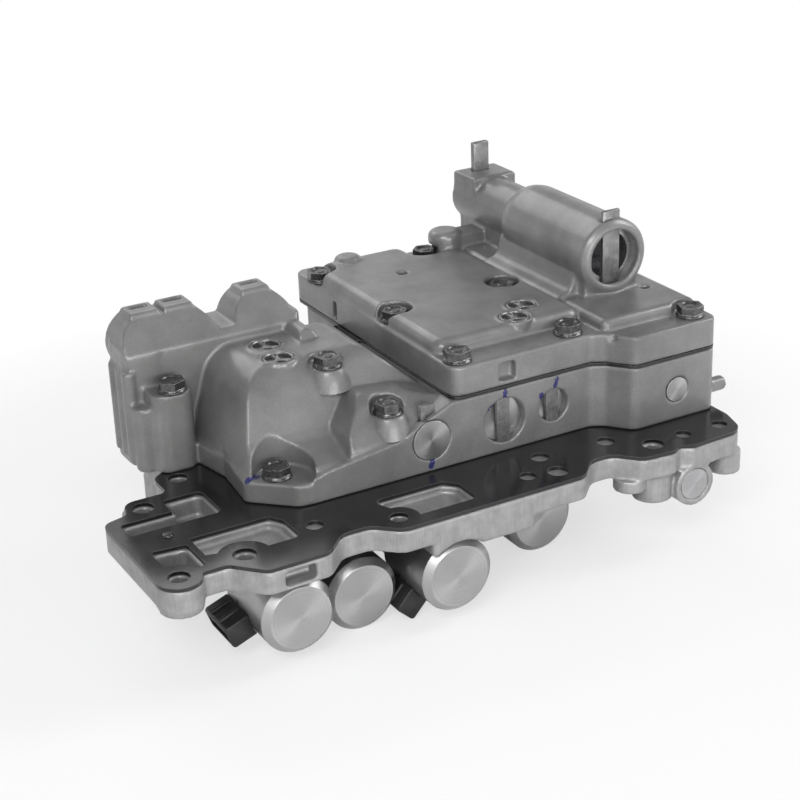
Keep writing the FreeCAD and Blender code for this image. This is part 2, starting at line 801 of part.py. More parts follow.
# Upper casting
def upper_casting():
    parts = [prism_z(upper_outline(), upper_bottom, flange_top)]
    plateau_left = upper_left + 1.5
    plateau_right = tube_x - tube_flank + 1.5
    plateau_back = upper_back - 4.0
    plateau = [
        (plateau_left, 39.0, 6.0), (plateau_right, 39.0, 6.0), (plateau_right, 139.0, 6.0),
        (183.0, 139.0, 6.0), (183.0, plateau_back, 6.0), (plateau_left, plateau_back, 6.0),
    ]
    parts.append(top_softened(prism_z(plateau, flange_top - 1.0, plateau_top), plateau_soft_edge))
    ledge_left = tube_x - tube_flank + 1.0
    ledge_right = right_edge - 2.0
    ledge = [(ledge_left, 23.0, 3.0), (ledge_right, 23.0, 3.0), (ledge_right, 152.0, 6.0), (ledge_left, 152.0, 6.0)]
    parts.append(top_softened(prism_z(ledge, flange_top - 1.0, flange_top + 5.0), boss_soft_edge))
    parts.append(turned(
        [
            (tube_front, 0), (tube_front, tube_face_radius),
            (tube_front + tube_radius - tube_face_radius, tube_radius), (tube_shoulder - 4.0, tube_radius),
            (tube_shoulder, tube_radius - 0.8), (tube_shoulder + 3.0, tube_radius - 2.6),
            (tube_shoulder + 4.5, tube_neck_radius), (tube_rear, tube_neck_radius), (tube_rear, 0),
        ],
        tube_x, tube_z,
    ))
    pedestal = tube_radius - 3.0
    parts.append(block(tube_x - pedestal, tube_x + pedestal, tube_front + 3, tube_shoulder, flange_top, tube_z))
    parts.append(block(tube_x - 9, tube_x + 9, tube_shoulder - 2, tube_rear - 2, flange_top, tube_z))
    flank = [
        (tube_x - tube_flank, flange_top, 0.0), (tube_x - tube_flank, plateau_top + 0.3, 0.0),
        (tube_x - tube_flank + 6.0, plateau_top + 1.8, 4.0), (tube_x - tube_radius + 1.5, tube_z - 4.0, 3.0),
        (tube_x, tube_z - 4.0, 0.0), (tube_x, flange_top, 0.0),
    ]
    parts.append(prism_y(flank, tube_front + 8.0, tube_shoulder + 2.0))
    pad = block(tube_x - 11.5, tube_x + 11.5, tube_rear - 19.5, tube_rear - 0.8, tube_z, rear_pad_top)
    parts.append(top_softened(pad, pad_soft_edge))
    parts.append(top_softened(rod_z(8.0, 201.5, 145.0, flange_top - 1, 57.0), boss_soft_edge))
    parts.append(block(201.5, tube_x, 138.6, 151.0, flange_top, 55.0))
    parts.append(top_softened(rod_z(6.5, 153.5, 152.0, flange_top - 1, 52.0), boss_soft_edge))
    for x, y in plateau_screens:
        parts.append(screen_rim_ring(x, y, plateau_top))
    body = joined(parts)
    cutters = []
    for x, y in upper_bolts:
        cutters.append(rod_z(bolt_radius + bolt_hole_clearance, x, y, upper_bottom - 1, flange_top + 1))
        cutters.append(rod_z(bolt_boss_radius + 0.6, x, y, flange_top, plateau_top + 1))
    cutters.append(rod_y(tube_bore_radius, tube_x, tube_z, tube_front - 1, tube_floor_y))
    cutters.append(rod_y(rear_bore_radius, tube_x, tube_z, rear_bore_floor, tube_rear + 1))
    cutters.append(front_key_shape(key_clearance))
    cutters.append(rear_key_shape(key_clearance))
    for x, y in plateau_screens:
        cutters.append(screen_recess(x, y, plateau_top))
    cutters.append(block(155.0, 163.0, mid_front - 1, mid_front + 3.5, upper_bottom + 2.0, 41.0))
    cutters.append(block(upper_left - 1.0, upper_left + 3.0, 125.8, 128.6, upper_bottom + 1.5, 41.0))
    cutters.append(rod_z(2.4, 165.0, 121.6, plateau_top - 3.0, plateau_top + 1))
    cutters.append(rod_z(2.2, right_edge - 12.2, 47.0, flange_top, flange_top + 6))
    cutters.append(rod_z(1.8, 207.0, 18.7, flange_top - 3.0, flange_top + 1))
    return body.cut(cutters)


def front_key_shape(extra):
    half = front_key_width / 2 + extra
    low = tube_z - tube_bore_radius - 1.6 - extra
    high = tube_z + tube_radius + front_key_rise + extra
    return block(
        tube_x - half, tube_x + half, front_key_y - extra, front_key_y + key_thickness + extra, low, high,
    )


def rear_key_shape(extra):
    half = rear_key_width / 2 + extra
    back = rear_key_y + rear_key_thickness + extra
    return block(tube_x - half, tube_x + half, rear_key_y - extra, back, tube_z - 3.0 - extra, rear_key_top + extra)


def accumulator_piston():
    size = tube_bore_radius - piston_clearance
    start = front_key_y + key_thickness + key_clearance + 0.1
    end = start + piston_length
    inside = size - piston_wall
    return turned(
        [(start, inside), (start, size), (end, size), (end, 0), (end - 3.0, 0), (end - 3.0, inside)],
        tube_x, tube_z,
    )


def rear_plug():
    size = rear_bore_radius - plug_clearance
    start = rear_key_y - 3.0
    body = turned([(start, 0), (start, size), (start + rear_plug_length, size), (start + rear_plug_length, 0)],
                  tube_x, tube_z)
    return body.cut(rear_key_shape(key_clearance))


nodes = {
    "lower_casting": lower_casting(),
    "lower_separator_plate": lower_separator_plate(),
    "gallery_plug": gallery_plug(),
    "mid_casting": mid_casting(),
    "upper_separator_plate": upper_separator_plate(),
    "upper_casting": upper_casting(),
}

clips = []
for letter, (x, front, z, turn, reach) in solenoids.items():
    nodes["solenoid_can_" + letter] = solenoid_can(x, front, z)
    nodes["solenoid_nozzle_" + letter] = solenoid_nozzle(x, front, z)
    nodes["solenoid_plunger_" + letter] = solenoid_plunger(x, front, z)
    nodes["solenoid_connector_" + letter] = solenoid_connector(x, front, z, turn, reach)
    clips.append(solenoid_clip(x, front, z))
nodes["solenoid_clips"] = Part.makeCompound(clips)

front_keys = []
for letter, (x, z, radius, face, recess) in front_valves.items():
    bore = radius - front_bore_step
    start, end = front_spool_span(face, recess)
    nodes["front_plug_" + letter] = front_plug(x, z, radius, face, recess)
    nodes["front_spool_" + letter] = spool(bore - bore_clearance, start, end, x, z)
    nodes["front_spring_" + letter] = spring(bore - 0.5, end, face + front_bore_depth, x, z, 4)
    front_keys.append(front_plug_key(x, z, radius, face, recess, 0.0))
nodes["front_plug_keys"] = Part.makeCompound(front_keys)

boss_keys = []
for letter, (x, front, floor, length) in boss_valves.items():
    start, end = boss_spool_span(length)
    plug_size = boss_bore_radius - plug_clearance
    plug_start = block_back - boss_plug_length - 2.0
    plug = turned([(plug_start, 0), (plug_start, plug_size), (block_back - 2.0, plug_size), (block_back - 2.0, 0)],
                  x, boss_axis_z)
    slot_half = boss_key_width / 2 + key_clearance
    slot = block(x - slot_half, x + slot_half, boss_key_y - key_clearance,
                 boss_key_y + key_thickness + key_clearance, boss_axis_z, pad_top + 1)
    nodes["boss_plug_" + letter] = plug.cut(slot)
    nodes["boss_spool_" + letter] = spool(boss_bore_radius - bore_clearance, start, end, x, boss_axis_z)
    nodes["boss_spring_" + letter] = spring(boss_bore_radius - 0.5, floor, start, x, boss_axis_z, 2)
    boss_keys.append(block(x - boss_key_width / 2, x + boss_key_width / 2, boss_key_y,
                           boss_key_y + key_thickness, boss_axis_z, pad_top - 1.0))
nodes["boss_valve_keys"] = Part.makeCompound(boss_keys)

nodes["accumulator_piston"] = accumulator_piston()
piston_back = nodes["accumulator_piston"].BoundBox.YMax
nodes["accumulator_spring"] = spring(tube_bore_radius - 1.2, piston_back, tube_floor_y, tube_x, tube_z, 5)
nodes["accumulator_key"] = front_key_shape(0.0)
nodes["rear_valve_plug"] = rear_plug()
rear_start = rear_key_y - 3.0 - 0.4
nodes["rear_valve_spool"] = spool(rear_bore_radius - bore_clearance, rear_start - 14.0, rear_start, tube_x, tube_z)
nodes["rear_valve_spring"] = spring(rear_bore_radius - 0.6, rear_bore_floor, rear_start - 14.0, tube_x, tube_z, 3)
nodes["rear_valve_key"] = rear_key_shape(0.0)

upper_set = []
for x, y in upper_bolts:
    upper_set.append(flange_bolt(x, y, flange_top, flange_top - upper_bolt_length))
nodes["upper_casting_bolts"] = Part.makeCompound(upper_set)
mid_set = []
for x, y, seat in mid_bolts:
    mid_set.append(flange_bolt(x, y, seat, -mid_bolt_reach))
nodes["mid_casting_bolts"] = Part.makeCompound(mid_set)

for name, shape in nodes.items():
    shape.exportStep("parts/" + name + ".step")
    print(name, len(shape.Solids), shape.isValid(), round(shape.Volume))
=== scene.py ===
# %% [markdown]
# # A transmission valve body
#
# A valve body is the hydraulic brain of an automatic transmission: three castings of aluminium are bolted
# together with thin steel plates between them, and small spool valves slide in bores that run through them.
# The shapes come from the CAD model, which is loaded as a fixed frame. This lesson gives that model its
# metal: edges rounded as a mould rounds them, cast, turned and plated surfaces, bolts with dished heads,
# and the light to see them in. Everything is in metres, with +Z up, and the origin lies in the front left
# bolt hole.

# %% Load the frame
import bpy
import bmesh
import json
import math
from mathutils import Matrix, Vector


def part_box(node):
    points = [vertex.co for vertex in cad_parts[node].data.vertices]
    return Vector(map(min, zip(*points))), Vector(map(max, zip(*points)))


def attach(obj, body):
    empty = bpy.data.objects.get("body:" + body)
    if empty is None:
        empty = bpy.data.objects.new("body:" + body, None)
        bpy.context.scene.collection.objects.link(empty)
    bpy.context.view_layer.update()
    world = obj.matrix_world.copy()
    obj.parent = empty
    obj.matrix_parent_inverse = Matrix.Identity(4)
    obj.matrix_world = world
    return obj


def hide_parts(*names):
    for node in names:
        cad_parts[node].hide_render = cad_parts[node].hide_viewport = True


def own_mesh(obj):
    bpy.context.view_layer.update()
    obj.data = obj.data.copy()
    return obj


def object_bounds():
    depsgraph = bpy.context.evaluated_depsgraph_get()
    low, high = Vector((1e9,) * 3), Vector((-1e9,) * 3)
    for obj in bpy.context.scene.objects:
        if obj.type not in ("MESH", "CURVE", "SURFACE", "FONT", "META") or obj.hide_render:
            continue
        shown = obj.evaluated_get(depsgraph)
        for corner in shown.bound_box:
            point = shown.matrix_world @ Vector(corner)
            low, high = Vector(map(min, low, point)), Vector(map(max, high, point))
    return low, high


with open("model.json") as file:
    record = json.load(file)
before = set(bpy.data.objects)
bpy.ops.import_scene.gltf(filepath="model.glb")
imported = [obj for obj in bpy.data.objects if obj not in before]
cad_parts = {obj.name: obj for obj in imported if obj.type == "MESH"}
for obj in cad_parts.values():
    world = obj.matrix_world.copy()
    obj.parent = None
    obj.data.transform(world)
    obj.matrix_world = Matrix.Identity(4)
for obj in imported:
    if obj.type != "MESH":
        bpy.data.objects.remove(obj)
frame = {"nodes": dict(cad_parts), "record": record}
cad_box = [list(corner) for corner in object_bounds()]
mm = 0.001
print("nodes:", len(frame["nodes"]), "box:", cad_box)

# %% [markdown]
# ## Camera
#
# The camera stands in front of the left end and looks slightly down. Its place is written as a position and
# two directions, because the view is turned a little about its own axis as well, as a hand-held camera is.
# The lens is long, so the two ends of the part are almost the same size.

# %% Place the camera
camera_position = Vector((-207.2, -554.5, 326.6)) * mm
looking = Vector((0.43825, 0.80382, -0.40228)).normalized()
tilt = math.radians(2.1952)
level = looking.cross(Vector((0, 0, 1))).normalized()
down = looking.cross(level).normalized()
picture_right = level * math.cos(tilt) + down * math.sin(tilt)
picture_up = picture_right.cross(looking).normalized()

camera_data = bpy.data.cameras.new("camera")
camera_data.lens = 81.85
camera_data.sensor_width = 36.0
camera = bpy.data.objects.new("camera", camera_data)
bpy.context.scene.collection.objects.link(camera)
turn = Matrix((picture_right, picture_up, -looking)).transposed()
camera.matrix_world = Matrix.Translation(camera_position) @ turn.to_4x4()
bpy.context.scene.camera = camera
print("camera axes:", [round(v, 4) for v in picture_right], [round(v, 4) for v in picture_up])

# %% [markdown]
# ## Node helpers
#
# Materials are written as node trees. A few short helpers keep the wiring readable: a new material, a new
# node group with named sockets, and the Math, Color Ramp, Mix and Bump nodes with their inputs set.


# %% Material and group helpers
def new_material(name):
    """An empty material with its output and a Principled shader: (material, nodes, links, shader)."""
    material = bpy.data.materials.new(name)
    material.use_nodes = True
    tree = material.node_tree
    tree.nodes.clear()
    output = tree.nodes.new("ShaderNodeOutputMaterial")
    shader = tree.nodes.new("ShaderNodeBsdfPrincipled")
    tree.links.new(shader.outputs["BSDF"], output.inputs["Surface"])
    return material, tree.nodes, tree.links, shader


def new_group(name, inputs, outputs):
    """An empty shader node group with named sockets: (group, its input node, its output node)."""
    group = bpy.data.node_groups.new(name, "ShaderNodeTree")
    kinds = {"value": "NodeSocketFloat", "vector": "NodeSocketVector", "colour": "NodeSocketColor"}
    for socket_name, kind, value in inputs:
        socket = group.interface.new_socket(socket_name, in_out="INPUT", socket_type=kinds[kind])
        if value is not None:
            socket.default_value = value
    for socket_name, kind in outputs:
        group.interface.new_socket(socket_name, in_out="OUTPUT", socket_type=kinds[kind])
    start = group.nodes.new("NodeGroupInput")
    end = group.nodes.new("NodeGroupOutput")
    return group, start, end


def place_group(tree, group, **values):
    """Adds a node group to tree and sets its inputs; underscores in names stand for spaces."""
    node = tree.nodes.new("ShaderNodeGroup")
    node.node_tree = group
    for name, value in values.items():
        node.inputs[name.replace("_", " ")].default_value = value
    return node


# %% Math, ramp, mix and bump helpers
def feed(tree, socket, value):
    """Sets a socket to a number, or links another socket to it."""
    if isinstance(value, (int, float)):
        socket.default_value = value
    elif isinstance(value, tuple):
        socket.default_value = value if len(socket.default_value) == len(value) else (*value, 1.0)
    else:
        tree.links.new(value, socket)


def math_node(tree, operation, first, second=None, third=None, clamp=False):
    """A Math node whose inputs are numbers or sockets; returns its output socket."""
    node = tree.nodes.new("ShaderNodeMath")
    node.operation = operation
    node.use_clamp = clamp
    for socket, value in zip(node.inputs, (first, second, third)):
        if value is not None:
            feed(tree, socket, value)
    return node.outputs[0]


def vector_node(tree, operation, first, second=None):
    """A Vector Math node; returns the node, whose outputs are Vector and Value."""
    node = tree.nodes.new("ShaderNodeVectorMath")
    node.operation = operation
    feed(tree, node.inputs[0], first)
    if second is not None:
        feed(tree, node.inputs[1], second)
    return node


def ramp_node(tree, source, stops):
    """A Color Ramp fed by source, with stops of (place, colour); returns its colour socket."""
    node = tree.nodes.new("ShaderNodeValToRGB")
    tree.links.new(source, node.inputs["Fac"])
    elements = node.color_ramp.elements
    while len(elements) < len(stops):
        elements.new(0.5)
    for element, (place, colour) in zip(elements, stops):
        element.position = place
        element.color = (*colour, 1.0)
    return node.outputs["Color"]


def mix_node(tree, factor, first, second, blend="MIX"):
    """A colour Mix node; colours are tuples or sockets; returns its colour socket."""
    node = tree.nodes.new("ShaderNodeMix")
    node.data_type = "RGBA"
    node.blend_type = blend
    feed(tree, node.inputs["Factor"], factor)
    feed(tree, node.inputs[6], first)
    feed(tree, node.inputs[7], second)
    return node.outputs[2]


def noise_node(tree, where, scale, detail=2.0, roughness=0.5):
    """A Noise Texture on Object coordinates; scale is a number or a socket; returns its value socket."""
    node = tree.nodes.new("ShaderNodeTexNoise")
    node.inputs["Detail"].default_value = detail
    node.inputs["Roughness"].default_value = roughness
    tree.links.new(where, node.inputs["Vector"])
    feed(tree, node.inputs["Scale"], scale)
    return node.outputs["Fac"]


def bump_on(tree, height, normal, strength, depth):
    """A Bump node of that depth in metres over an earlier normal; returns its normal socket."""
    node = tree.nodes.new("ShaderNodeBump")
    node.inputs["Strength"].default_value = strength
    node.inputs["Distance"].default_value = depth
    tree.links.new(height, node.inputs["Height"])
    if normal is not None:
        tree.links.new(normal, node.inputs["Normal"])
    return node.outputs["Normal"]


def object_place(tree):
    """The Object coordinates of the surface, in metres of the row frame."""
    return tree.nodes.new("ShaderNodeTexCoord").outputs["Object"]


# %% [markdown]
# ## Floor, light and the bright room
#
# A product like this is photographed on white. A large pale floor keeps a soft shadow under the solenoids,
# and fades to plain white further out, so that no horizon shows. The room behind it is white to the eye and
# to everything that mirrors it near the horizon, and it gets darker overhead, because bare metal only looks
# like metal when it mirrors both light and dark.

# %% Build the floor
lowest = cad_box[0][2]
floor_mesh = bpy.data.meshes.new("floor")
shape = bmesh.new()
bmesh.ops.create_grid(shape, x_segments=1, y_segments=1, size=6.0)
bmesh.ops.translate(shape, verts=shape.verts, vec=(0.12, 0.08, lowest - 0.0002))
shape.to_mesh(floor_mesh)
shape.free()
floor = bpy.data.objects.new("floor", floor_mesh)
bpy.context.scene.collection.objects.link(floor)
print("floor at", round(lowest, 4))

# %% Paint the floor, white to the eye away from the part
floor_material, nodes, links, shader = new_material("studio_floor")
tree = floor_material.node_tree
shader.inputs["Roughness"].default_value = 0.6
shader.inputs["Specular IOR Level"].default_value = 0.1
place = object_place(tree)
paper = noise_node(tree, place, 6.0, 3.0)
links.new(ramp_node(tree, paper, [(0.3, (0.90, 0.90, 0.90)), (0.7, (0.93, 0.93, 0.93))]), shader.inputs["Base Color"])
from_part = vector_node(tree, "SUBTRACT", place, (0.12, 0.07, lowest))
reach = vector_node(tree, "LENGTH", from_part.outputs["Vector"]).outputs["Value"]
fade = math_node(tree, "MULTIPLY_ADD", reach, 4.5, -0.45, clamp=True)
fade = math_node(tree, "MAXIMUM", fade, 0.62)
path = nodes.new("ShaderNodeLightPath")
white_part = math_node(tree, "MULTIPLY", fade, path.outputs["Is Camera Ray"])
white = nodes.new("ShaderNodeEmission")
white.inputs["Color"].default_value = (1.0, 1.0, 1.0, 1.0)
white.inputs["Strength"].default_value = 1.0
both = nodes.new("ShaderNodeMixShader")
links.new(white_part, both.inputs["Fac"])
links.new(shader.outputs["BSDF"], both.inputs[1])
links.new(white.outputs["Emission"], both.inputs[2])
output = next(n for n in nodes if n.type == "OUTPUT_MATERIAL")
links.new(both.outputs["Shader"], output.inputs["Surface"])
floor_mesh.materials.append(floor_material)

# %% Light the room
world = bpy.data.worlds.new("bright_room")
bpy.context.scene.world = world
world.use_nodes = True
tree = world.node_tree
tree.nodes.clear()
world_output = tree.nodes.new("ShaderNodeOutputWorld")
room = tree.nodes.new("ShaderNodeBackground")
seen = tree.nodes.new("ShaderNodeBackground")
blend = tree.nodes.new("ShaderNodeMixShader")
path = tree.nodes.new("ShaderNodeLightPath")
direction = tree.nodes.new("ShaderNodeTexCoord")
split = tree.nodes.new("ShaderNodeSeparateXYZ")
tree.links.new(direction.outputs["Generated"], split.inputs["Vector"])
height = math_node(tree, "MULTIPLY_ADD", split.outputs["Z"], 0.5, 0.5)
room_colour = ramp_node(tree, height, [
    (0.0, (0.75, 0.75, 0.75)), (0.50, (0.80, 0.80, 0.80)), (0.62, (0.62, 0.62, 0.63)),
    (0.80, (0.34, 0.34, 0.35)), (1.0, (0.60, 0.60, 0.61)),
])
seen_colour = ramp_node(tree, height, [
    (0.0, (1.0, 1.0, 1.0)), (0.55, (1.0, 1.0, 1.0)), (0.66, (0.66, 0.66, 0.67)),
    (0.76, (0.38, 0.38, 0.39)), (0.86, (0.13, 0.13, 0.14)), (1.0, (0.65, 0.65, 0.65)),
])
mirrored = math_node(tree, "MAXIMUM", path.outputs["Is Glossy Ray"], path.outputs["Is Transmission Ray"])
seen_or_white = mix_node(tree, path.outputs["Is Camera Ray"], seen_colour, (1.0, 1.0, 1.0))
tree.links.new(room_colour, room.inputs["Color"])
room.inputs["Strength"].default_value = 0.75
tree.links.new(seen_or_white, seen.inputs["Color"])
seen.inputs["Strength"].default_value = 1.0
which = math_node(tree, "MAXIMUM", path.outputs["Is Camera Ray"], mirrored)
tree.links.new(which, blend.inputs["Fac"])
tree.links.new(room.outputs["Background"], blend.inputs[1])
tree.links.new(seen.outputs["Background"], blend.inputs[2])
tree.links.new(blend.outputs["Shader"], world_output.inputs["Surface"])


# %% Four soft lamps
def soft_lamp(name, place, aim, size, power):
    """An area lamp of size (width, height) metres at place, shining at aim."""
    data = bpy.data.lights.new(name, "AREA")
    data.shape = "RECTANGLE"
    data.size = size[0]
    data.size_y = size[1]
    data.energy = power
    lamp = bpy.data.objects.new(name, data)
    bpy.context.scene.collection.objects.link(lamp)
    lamp.location = place
    lamp.rotation_euler = (Vector(aim) - Vector(place)).to_track_quat("-Z", "Y").to_euler()
    return lamp


middle = (0.12, 0.06, 0.0)
soft_lamp("front_left_softbox", (-0.55, -0.75, 0.85), middle, (0.6, 0.4), 8.0)
soft_lamp("right_softbox", (1.05, -0.25, 0.65), middle, (0.4, 0.6), 5.0)
soft_lamp("rear_strip", (0.1, 0.95, 0.75), middle, (0.9, 0.4), 2.6)
soft_lamp("low_front_fill", (0.05, -1.2, 0.16), middle, (0.9, 0.3), 6.0)

# %% [markdown]
# ## Shared surface effects
#
# Real metal parts are never one even grey. Castings are mottled and slightly rough from the mould, every
# edge is rubbed bright, machined faces carry fine lines, and an inspector marks finished bores with a dab
# of blue paint. Each of these effects is a node group, built once and used in several materials with its
# own numbers.

# %% Cast skin: mottling, fine grain and a bump height
cast_skin, start, end = new_group(
    "cast_skin",
    [
        ("Blotch Size", "value", 60.0), ("Grain Size", "value", 900.0), ("Pit Strength", "value", 0.5),
        ("Upright", "value", 1.0),
    ],
    [("Mottle", "value"), ("Grain", "value"), ("Height", "value")],
)
place = object_place(cast_skin)
mottle = noise_node(cast_skin, place, start.outputs["Blotch Size"], 5.0, 0.6)
stretch = cast_skin.nodes.new("ShaderNodeCombineXYZ")
stretch.inputs["X"].default_value = 1.0
stretch.inputs["Y"].default_value = 1.0
cast_skin.links.new(start.outputs["Upright"], stretch.inputs["Z"])
drawn = vector_node(cast_skin, "MULTIPLY", place, stretch.outputs["Vector"]).outputs["Vector"]
grain = noise_node(cast_skin, drawn, start.outputs["Grain Size"], 3.0, 0.7)
pits = cast_skin.nodes.new("ShaderNodeTexVoronoi")
cast_skin.links.new(place, pits.inputs["Vector"])
feed(cast_skin, pits.inputs["Scale"], math_node(cast_skin, "MULTIPLY", start.outputs["Grain Size"], 0.6))
pit_shape = math_node(cast_skin, "MINIMUM", pits.outputs["Distance"], 0.35)
pit_height = math_node(cast_skin, "MULTIPLY", pit_shape, start.outputs["Pit Strength"])
grain_height = math_node(cast_skin, "ADD", grain, pit_height)
full_height = math_node(cast_skin, "ADD", grain_height, mottle)
cast_skin.links.new(mottle, end.inputs["Mottle"])
cast_skin.links.new(grain, end.inputs["Grain"])
cast_skin.links.new(full_height, end.inputs["Height"])

# %% Rubbed edges: a softened normal and a mask of the edges
soft_edges, start, end = new_group(
    "soft_edges",
    [("Radius", "value", 0.0006), ("Sharpness", "value", 3.0)],
    [("Normal", "vector"), ("Edge", "value")],
)
rounded = soft_edges.nodes.new("ShaderNodeBevel")
rounded.samples = 4
soft_edges.links.new(start.outputs["Radius"], rounded.inputs["Radius"])
flat = soft_edges.nodes.new("ShaderNodeNewGeometry")
likeness = vector_node(soft_edges, "DOT_PRODUCT", rounded.outputs["Normal"], flat.outputs["Normal"])
unlike = math_node(soft_edges, "SUBTRACT", 1.0, likeness.outputs["Value"], clamp=True)
edge = math_node(soft_edges, "MULTIPLY", unlike, start.outputs["Sharpness"], clamp=True)
soft_edges.links.new(rounded.outputs["Normal"], end.inputs["Normal"])
soft_edges.links.new(edge, end.inputs["Edge"])

# %% Turned rings round an axis along Y
turned_rings, start, end = new_group(
    "turned_rings",
    [("Centre", "vector", (0.0, 0.0, 0.0)), ("Rings per Metre", "value", 2500.0)],
    [("Height", "value"), ("Tone", "value")],
)
offset = vector_node(turned_rings, "SUBTRACT", object_place(turned_rings), start.outputs["Centre"])
flattened = vector_node(turned_rings, "MULTIPLY", offset.outputs["Vector"], (1.0, 0.0, 1.0))
radius = vector_node(turned_rings, "LENGTH", flattened.outputs["Vector"]).outputs["Value"]
split = turned_rings.nodes.new("ShaderNodeSeparateXYZ")
turned_rings.links.new(offset.outputs["Vector"], split.inputs["Vector"])
along = math_node(turned_rings, "ADD", radius, split.outputs["Y"])
ring_place = math_node(turned_rings, "MULTIPLY", along, start.outputs["Rings per Metre"])
for scale, socket in ((1.0, "Height"), (0.35, "Tone")):
    rings = turned_rings.nodes.new("ShaderNodeTexNoise")
    rings.noise_dimensions = "1D"
    rings.inputs["Scale"].default_value = scale
    rings.inputs["Detail"].default_value = 2.0
    turned_rings.links.new(ring_place, rings.inputs["W"])
    turned_rings.links.new(rings.outputs["Fac"], end.inputs[socket])

# %% A dab of paint between two points
paint_dab, start, end = new_group(
    "paint_dab",
    [("From", "vector", (0.0, 0.0, 0.0)), ("To", "vector", (0.0, 0.0, 0.01)), ("Width", "value", 0.001)],
    [("Mask", "value")],
)
place = object_place(paint_dab)
stroke = vector_node(paint_dab, "SUBTRACT", start.outputs["To"], start.outputs["From"]).outputs["Vector"]
away = vector_node(paint_dab, "SUBTRACT", place, start.outputs["From"]).outputs["Vector"]
over = vector_node(paint_dab, "DOT_PRODUCT", away, stroke).outputs["Value"]
whole = vector_node(paint_dab, "DOT_PRODUCT", stroke, stroke).outputs["Value"]
share = math_node(paint_dab, "DIVIDE", over, whole, clamp=True)
reached = vector_node(paint_dab, "SCALE", stroke)
paint_dab.links.new(share, reached.inputs["Scale"])
miss = vector_node(paint_dab, "SUBTRACT", away, reached.outputs["Vector"]).outputs["Vector"]
gap = vector_node(paint_dab, "LENGTH", miss).outputs["Value"]
ragged = noise_node(paint_dab, place, 1400.0, 2.0)
wobble = math_node(paint_dab, "MULTIPLY_ADD", ragged, 1.2, 0.4)
limit = math_node(paint_dab, "MULTIPLY", start.outputs["Width"], wobble)
inside = math_node(paint_dab, "LESS_THAN", gap, limit)
streaks = noise_node(paint_dab, place, 900.0, 3.0)
worn = math_node(paint_dab, "MULTIPLY_ADD", streaks, 3.0, -0.40, clamp=True)
paint_dab.links.new(math_node(paint_dab, "MULTIPLY", inside, worn), end.inputs["Mask"])
print("effect groups:", [group.name for group in bpy.data.node_groups])

# %% [markdown]
# ## Cast metal
#
# The middle and the upper casting are die cast and have been in oil, so they are a dull mid grey with a
# thin wet film: a metal with a clear coat. The lower casting is bright and dry. Both use the same cast
# skin, with smaller and paler blotches on the bright one, and edges rubbed lighter.


# %% Cast aluminium, dark and oily or bright and dry
def cast_metal(name, dark, light, edge_colour, roughness, grain_depth, blotch_size, upright, dabs):
    """A cast finish; dabs are paint strokes as (from, to, width) in metres; returns its shader too."""
    material, nodes, links, shader = new_material(name)
    tree = material.node_tree
    skin = place_group(tree, cast_skin, Blotch_Size=blotch_size, Grain_Size=1500.0, Pit_Strength=0.5, Upright=upright)
    edges = place_group(tree, soft_edges, Radius=0.0007, Sharpness=2.0)
    tone = ramp_node(tree, skin.outputs["Mottle"], [(0.32, dark), (0.68, light)])
    speckle = ramp_node(tree, skin.outputs["Grain"], [(0.35, (0.78, 0.78, 0.78)), (0.65, (1.0, 1.0, 1.0))])
    grained = mix_node(tree, 0.6, tone, speckle, blend="MULTIPLY")
    colour = mix_node(tree, edges.outputs["Edge"], grained, edge_colour)
    for first, last, width in dabs:
        dab = place_group(tree, paint_dab, From=first, To=last, Width=width)
        colour = mix_node(tree, dab.outputs["Mask"], colour, (0.018, 0.018, 0.13))
    feed(tree, shader.inputs["Base Color"], colour)
    low, high = roughness
    shine = ramp_node(tree, skin.outputs["Mottle"], [(0.30, (high,) * 3), (0.70, (low,) * 3)])
    links.new(shine, shader.inputs["Roughness"])
    bumped = bump_on(tree, skin.outputs["Height"], edges.outputs["Normal"], 0.5, grain_depth)
    links.new(bumped, shader.inputs["Normal"])
    return material, shader


def in_mm(x, y, z):
    return (x * mm, y * mm, z * mm)


inspection_dabs = [
    (in_mm(122.8, 24.5, 9.4), in_mm(121.9, 24.5, 4.2), 0.0013),
    (in_mm(157.8, 24.5, 28.6), in_mm(157.3, 24.5, 24.6), 0.0010),
    (in_mm(150.4, 24.5, 21.9), in_mm(151.6, 24.5, 22.9), 0.0013),
    (in_mm(183.2, 24.5, 28.0), in_mm(182.2, 24.5, 25.0), 0.0010),
    (in_mm(175.4, 24.5, 22.4), in_mm(175.8, 24.5, 21.4), 0.0012),
    (in_mm(47.6, 41.0, 11.0), in_mm(52.4, 41.9, 11.0), 0.0014),
    (in_mm(127.0, 149.6, 44.0), in_mm(130.0, 149.4, 44.0), 0.0008),
]
oily_cast, shader = cast_metal(
    "cast_aluminium", (0.158, 0.158, 0.156), (0.245, 0.245, 0.242), (0.38, 0.38, 0.375), (0.32, 0.47), 0.00024,
    45.0, 1.0, inspection_dabs,
)
shader.inputs["Metallic"].default_value = 0.35
shader.inputs["Coat Weight"].default_value = 0.5
shader.inputs["Coat Roughness"].default_value = 0.20

bright_cast, shader = cast_metal(
    "raw_aluminium", (0.30, 0.30, 0.298), (0.40, 0.40, 0.397), (0.64, 0.64, 0.635), (0.36, 0.52), 0.00020,
    160.0, 0.07, [],
)
shader.inputs["Metallic"].default_value = 0.6
print("cast materials:", oily_cast.name, bright_cast.name)

# %% [markdown]
# ## Coated plate
#
# The separator plates are steel with a baked black coating. The coating is glossy and slightly wavy, and
# it is worn through to a light line along the edges.

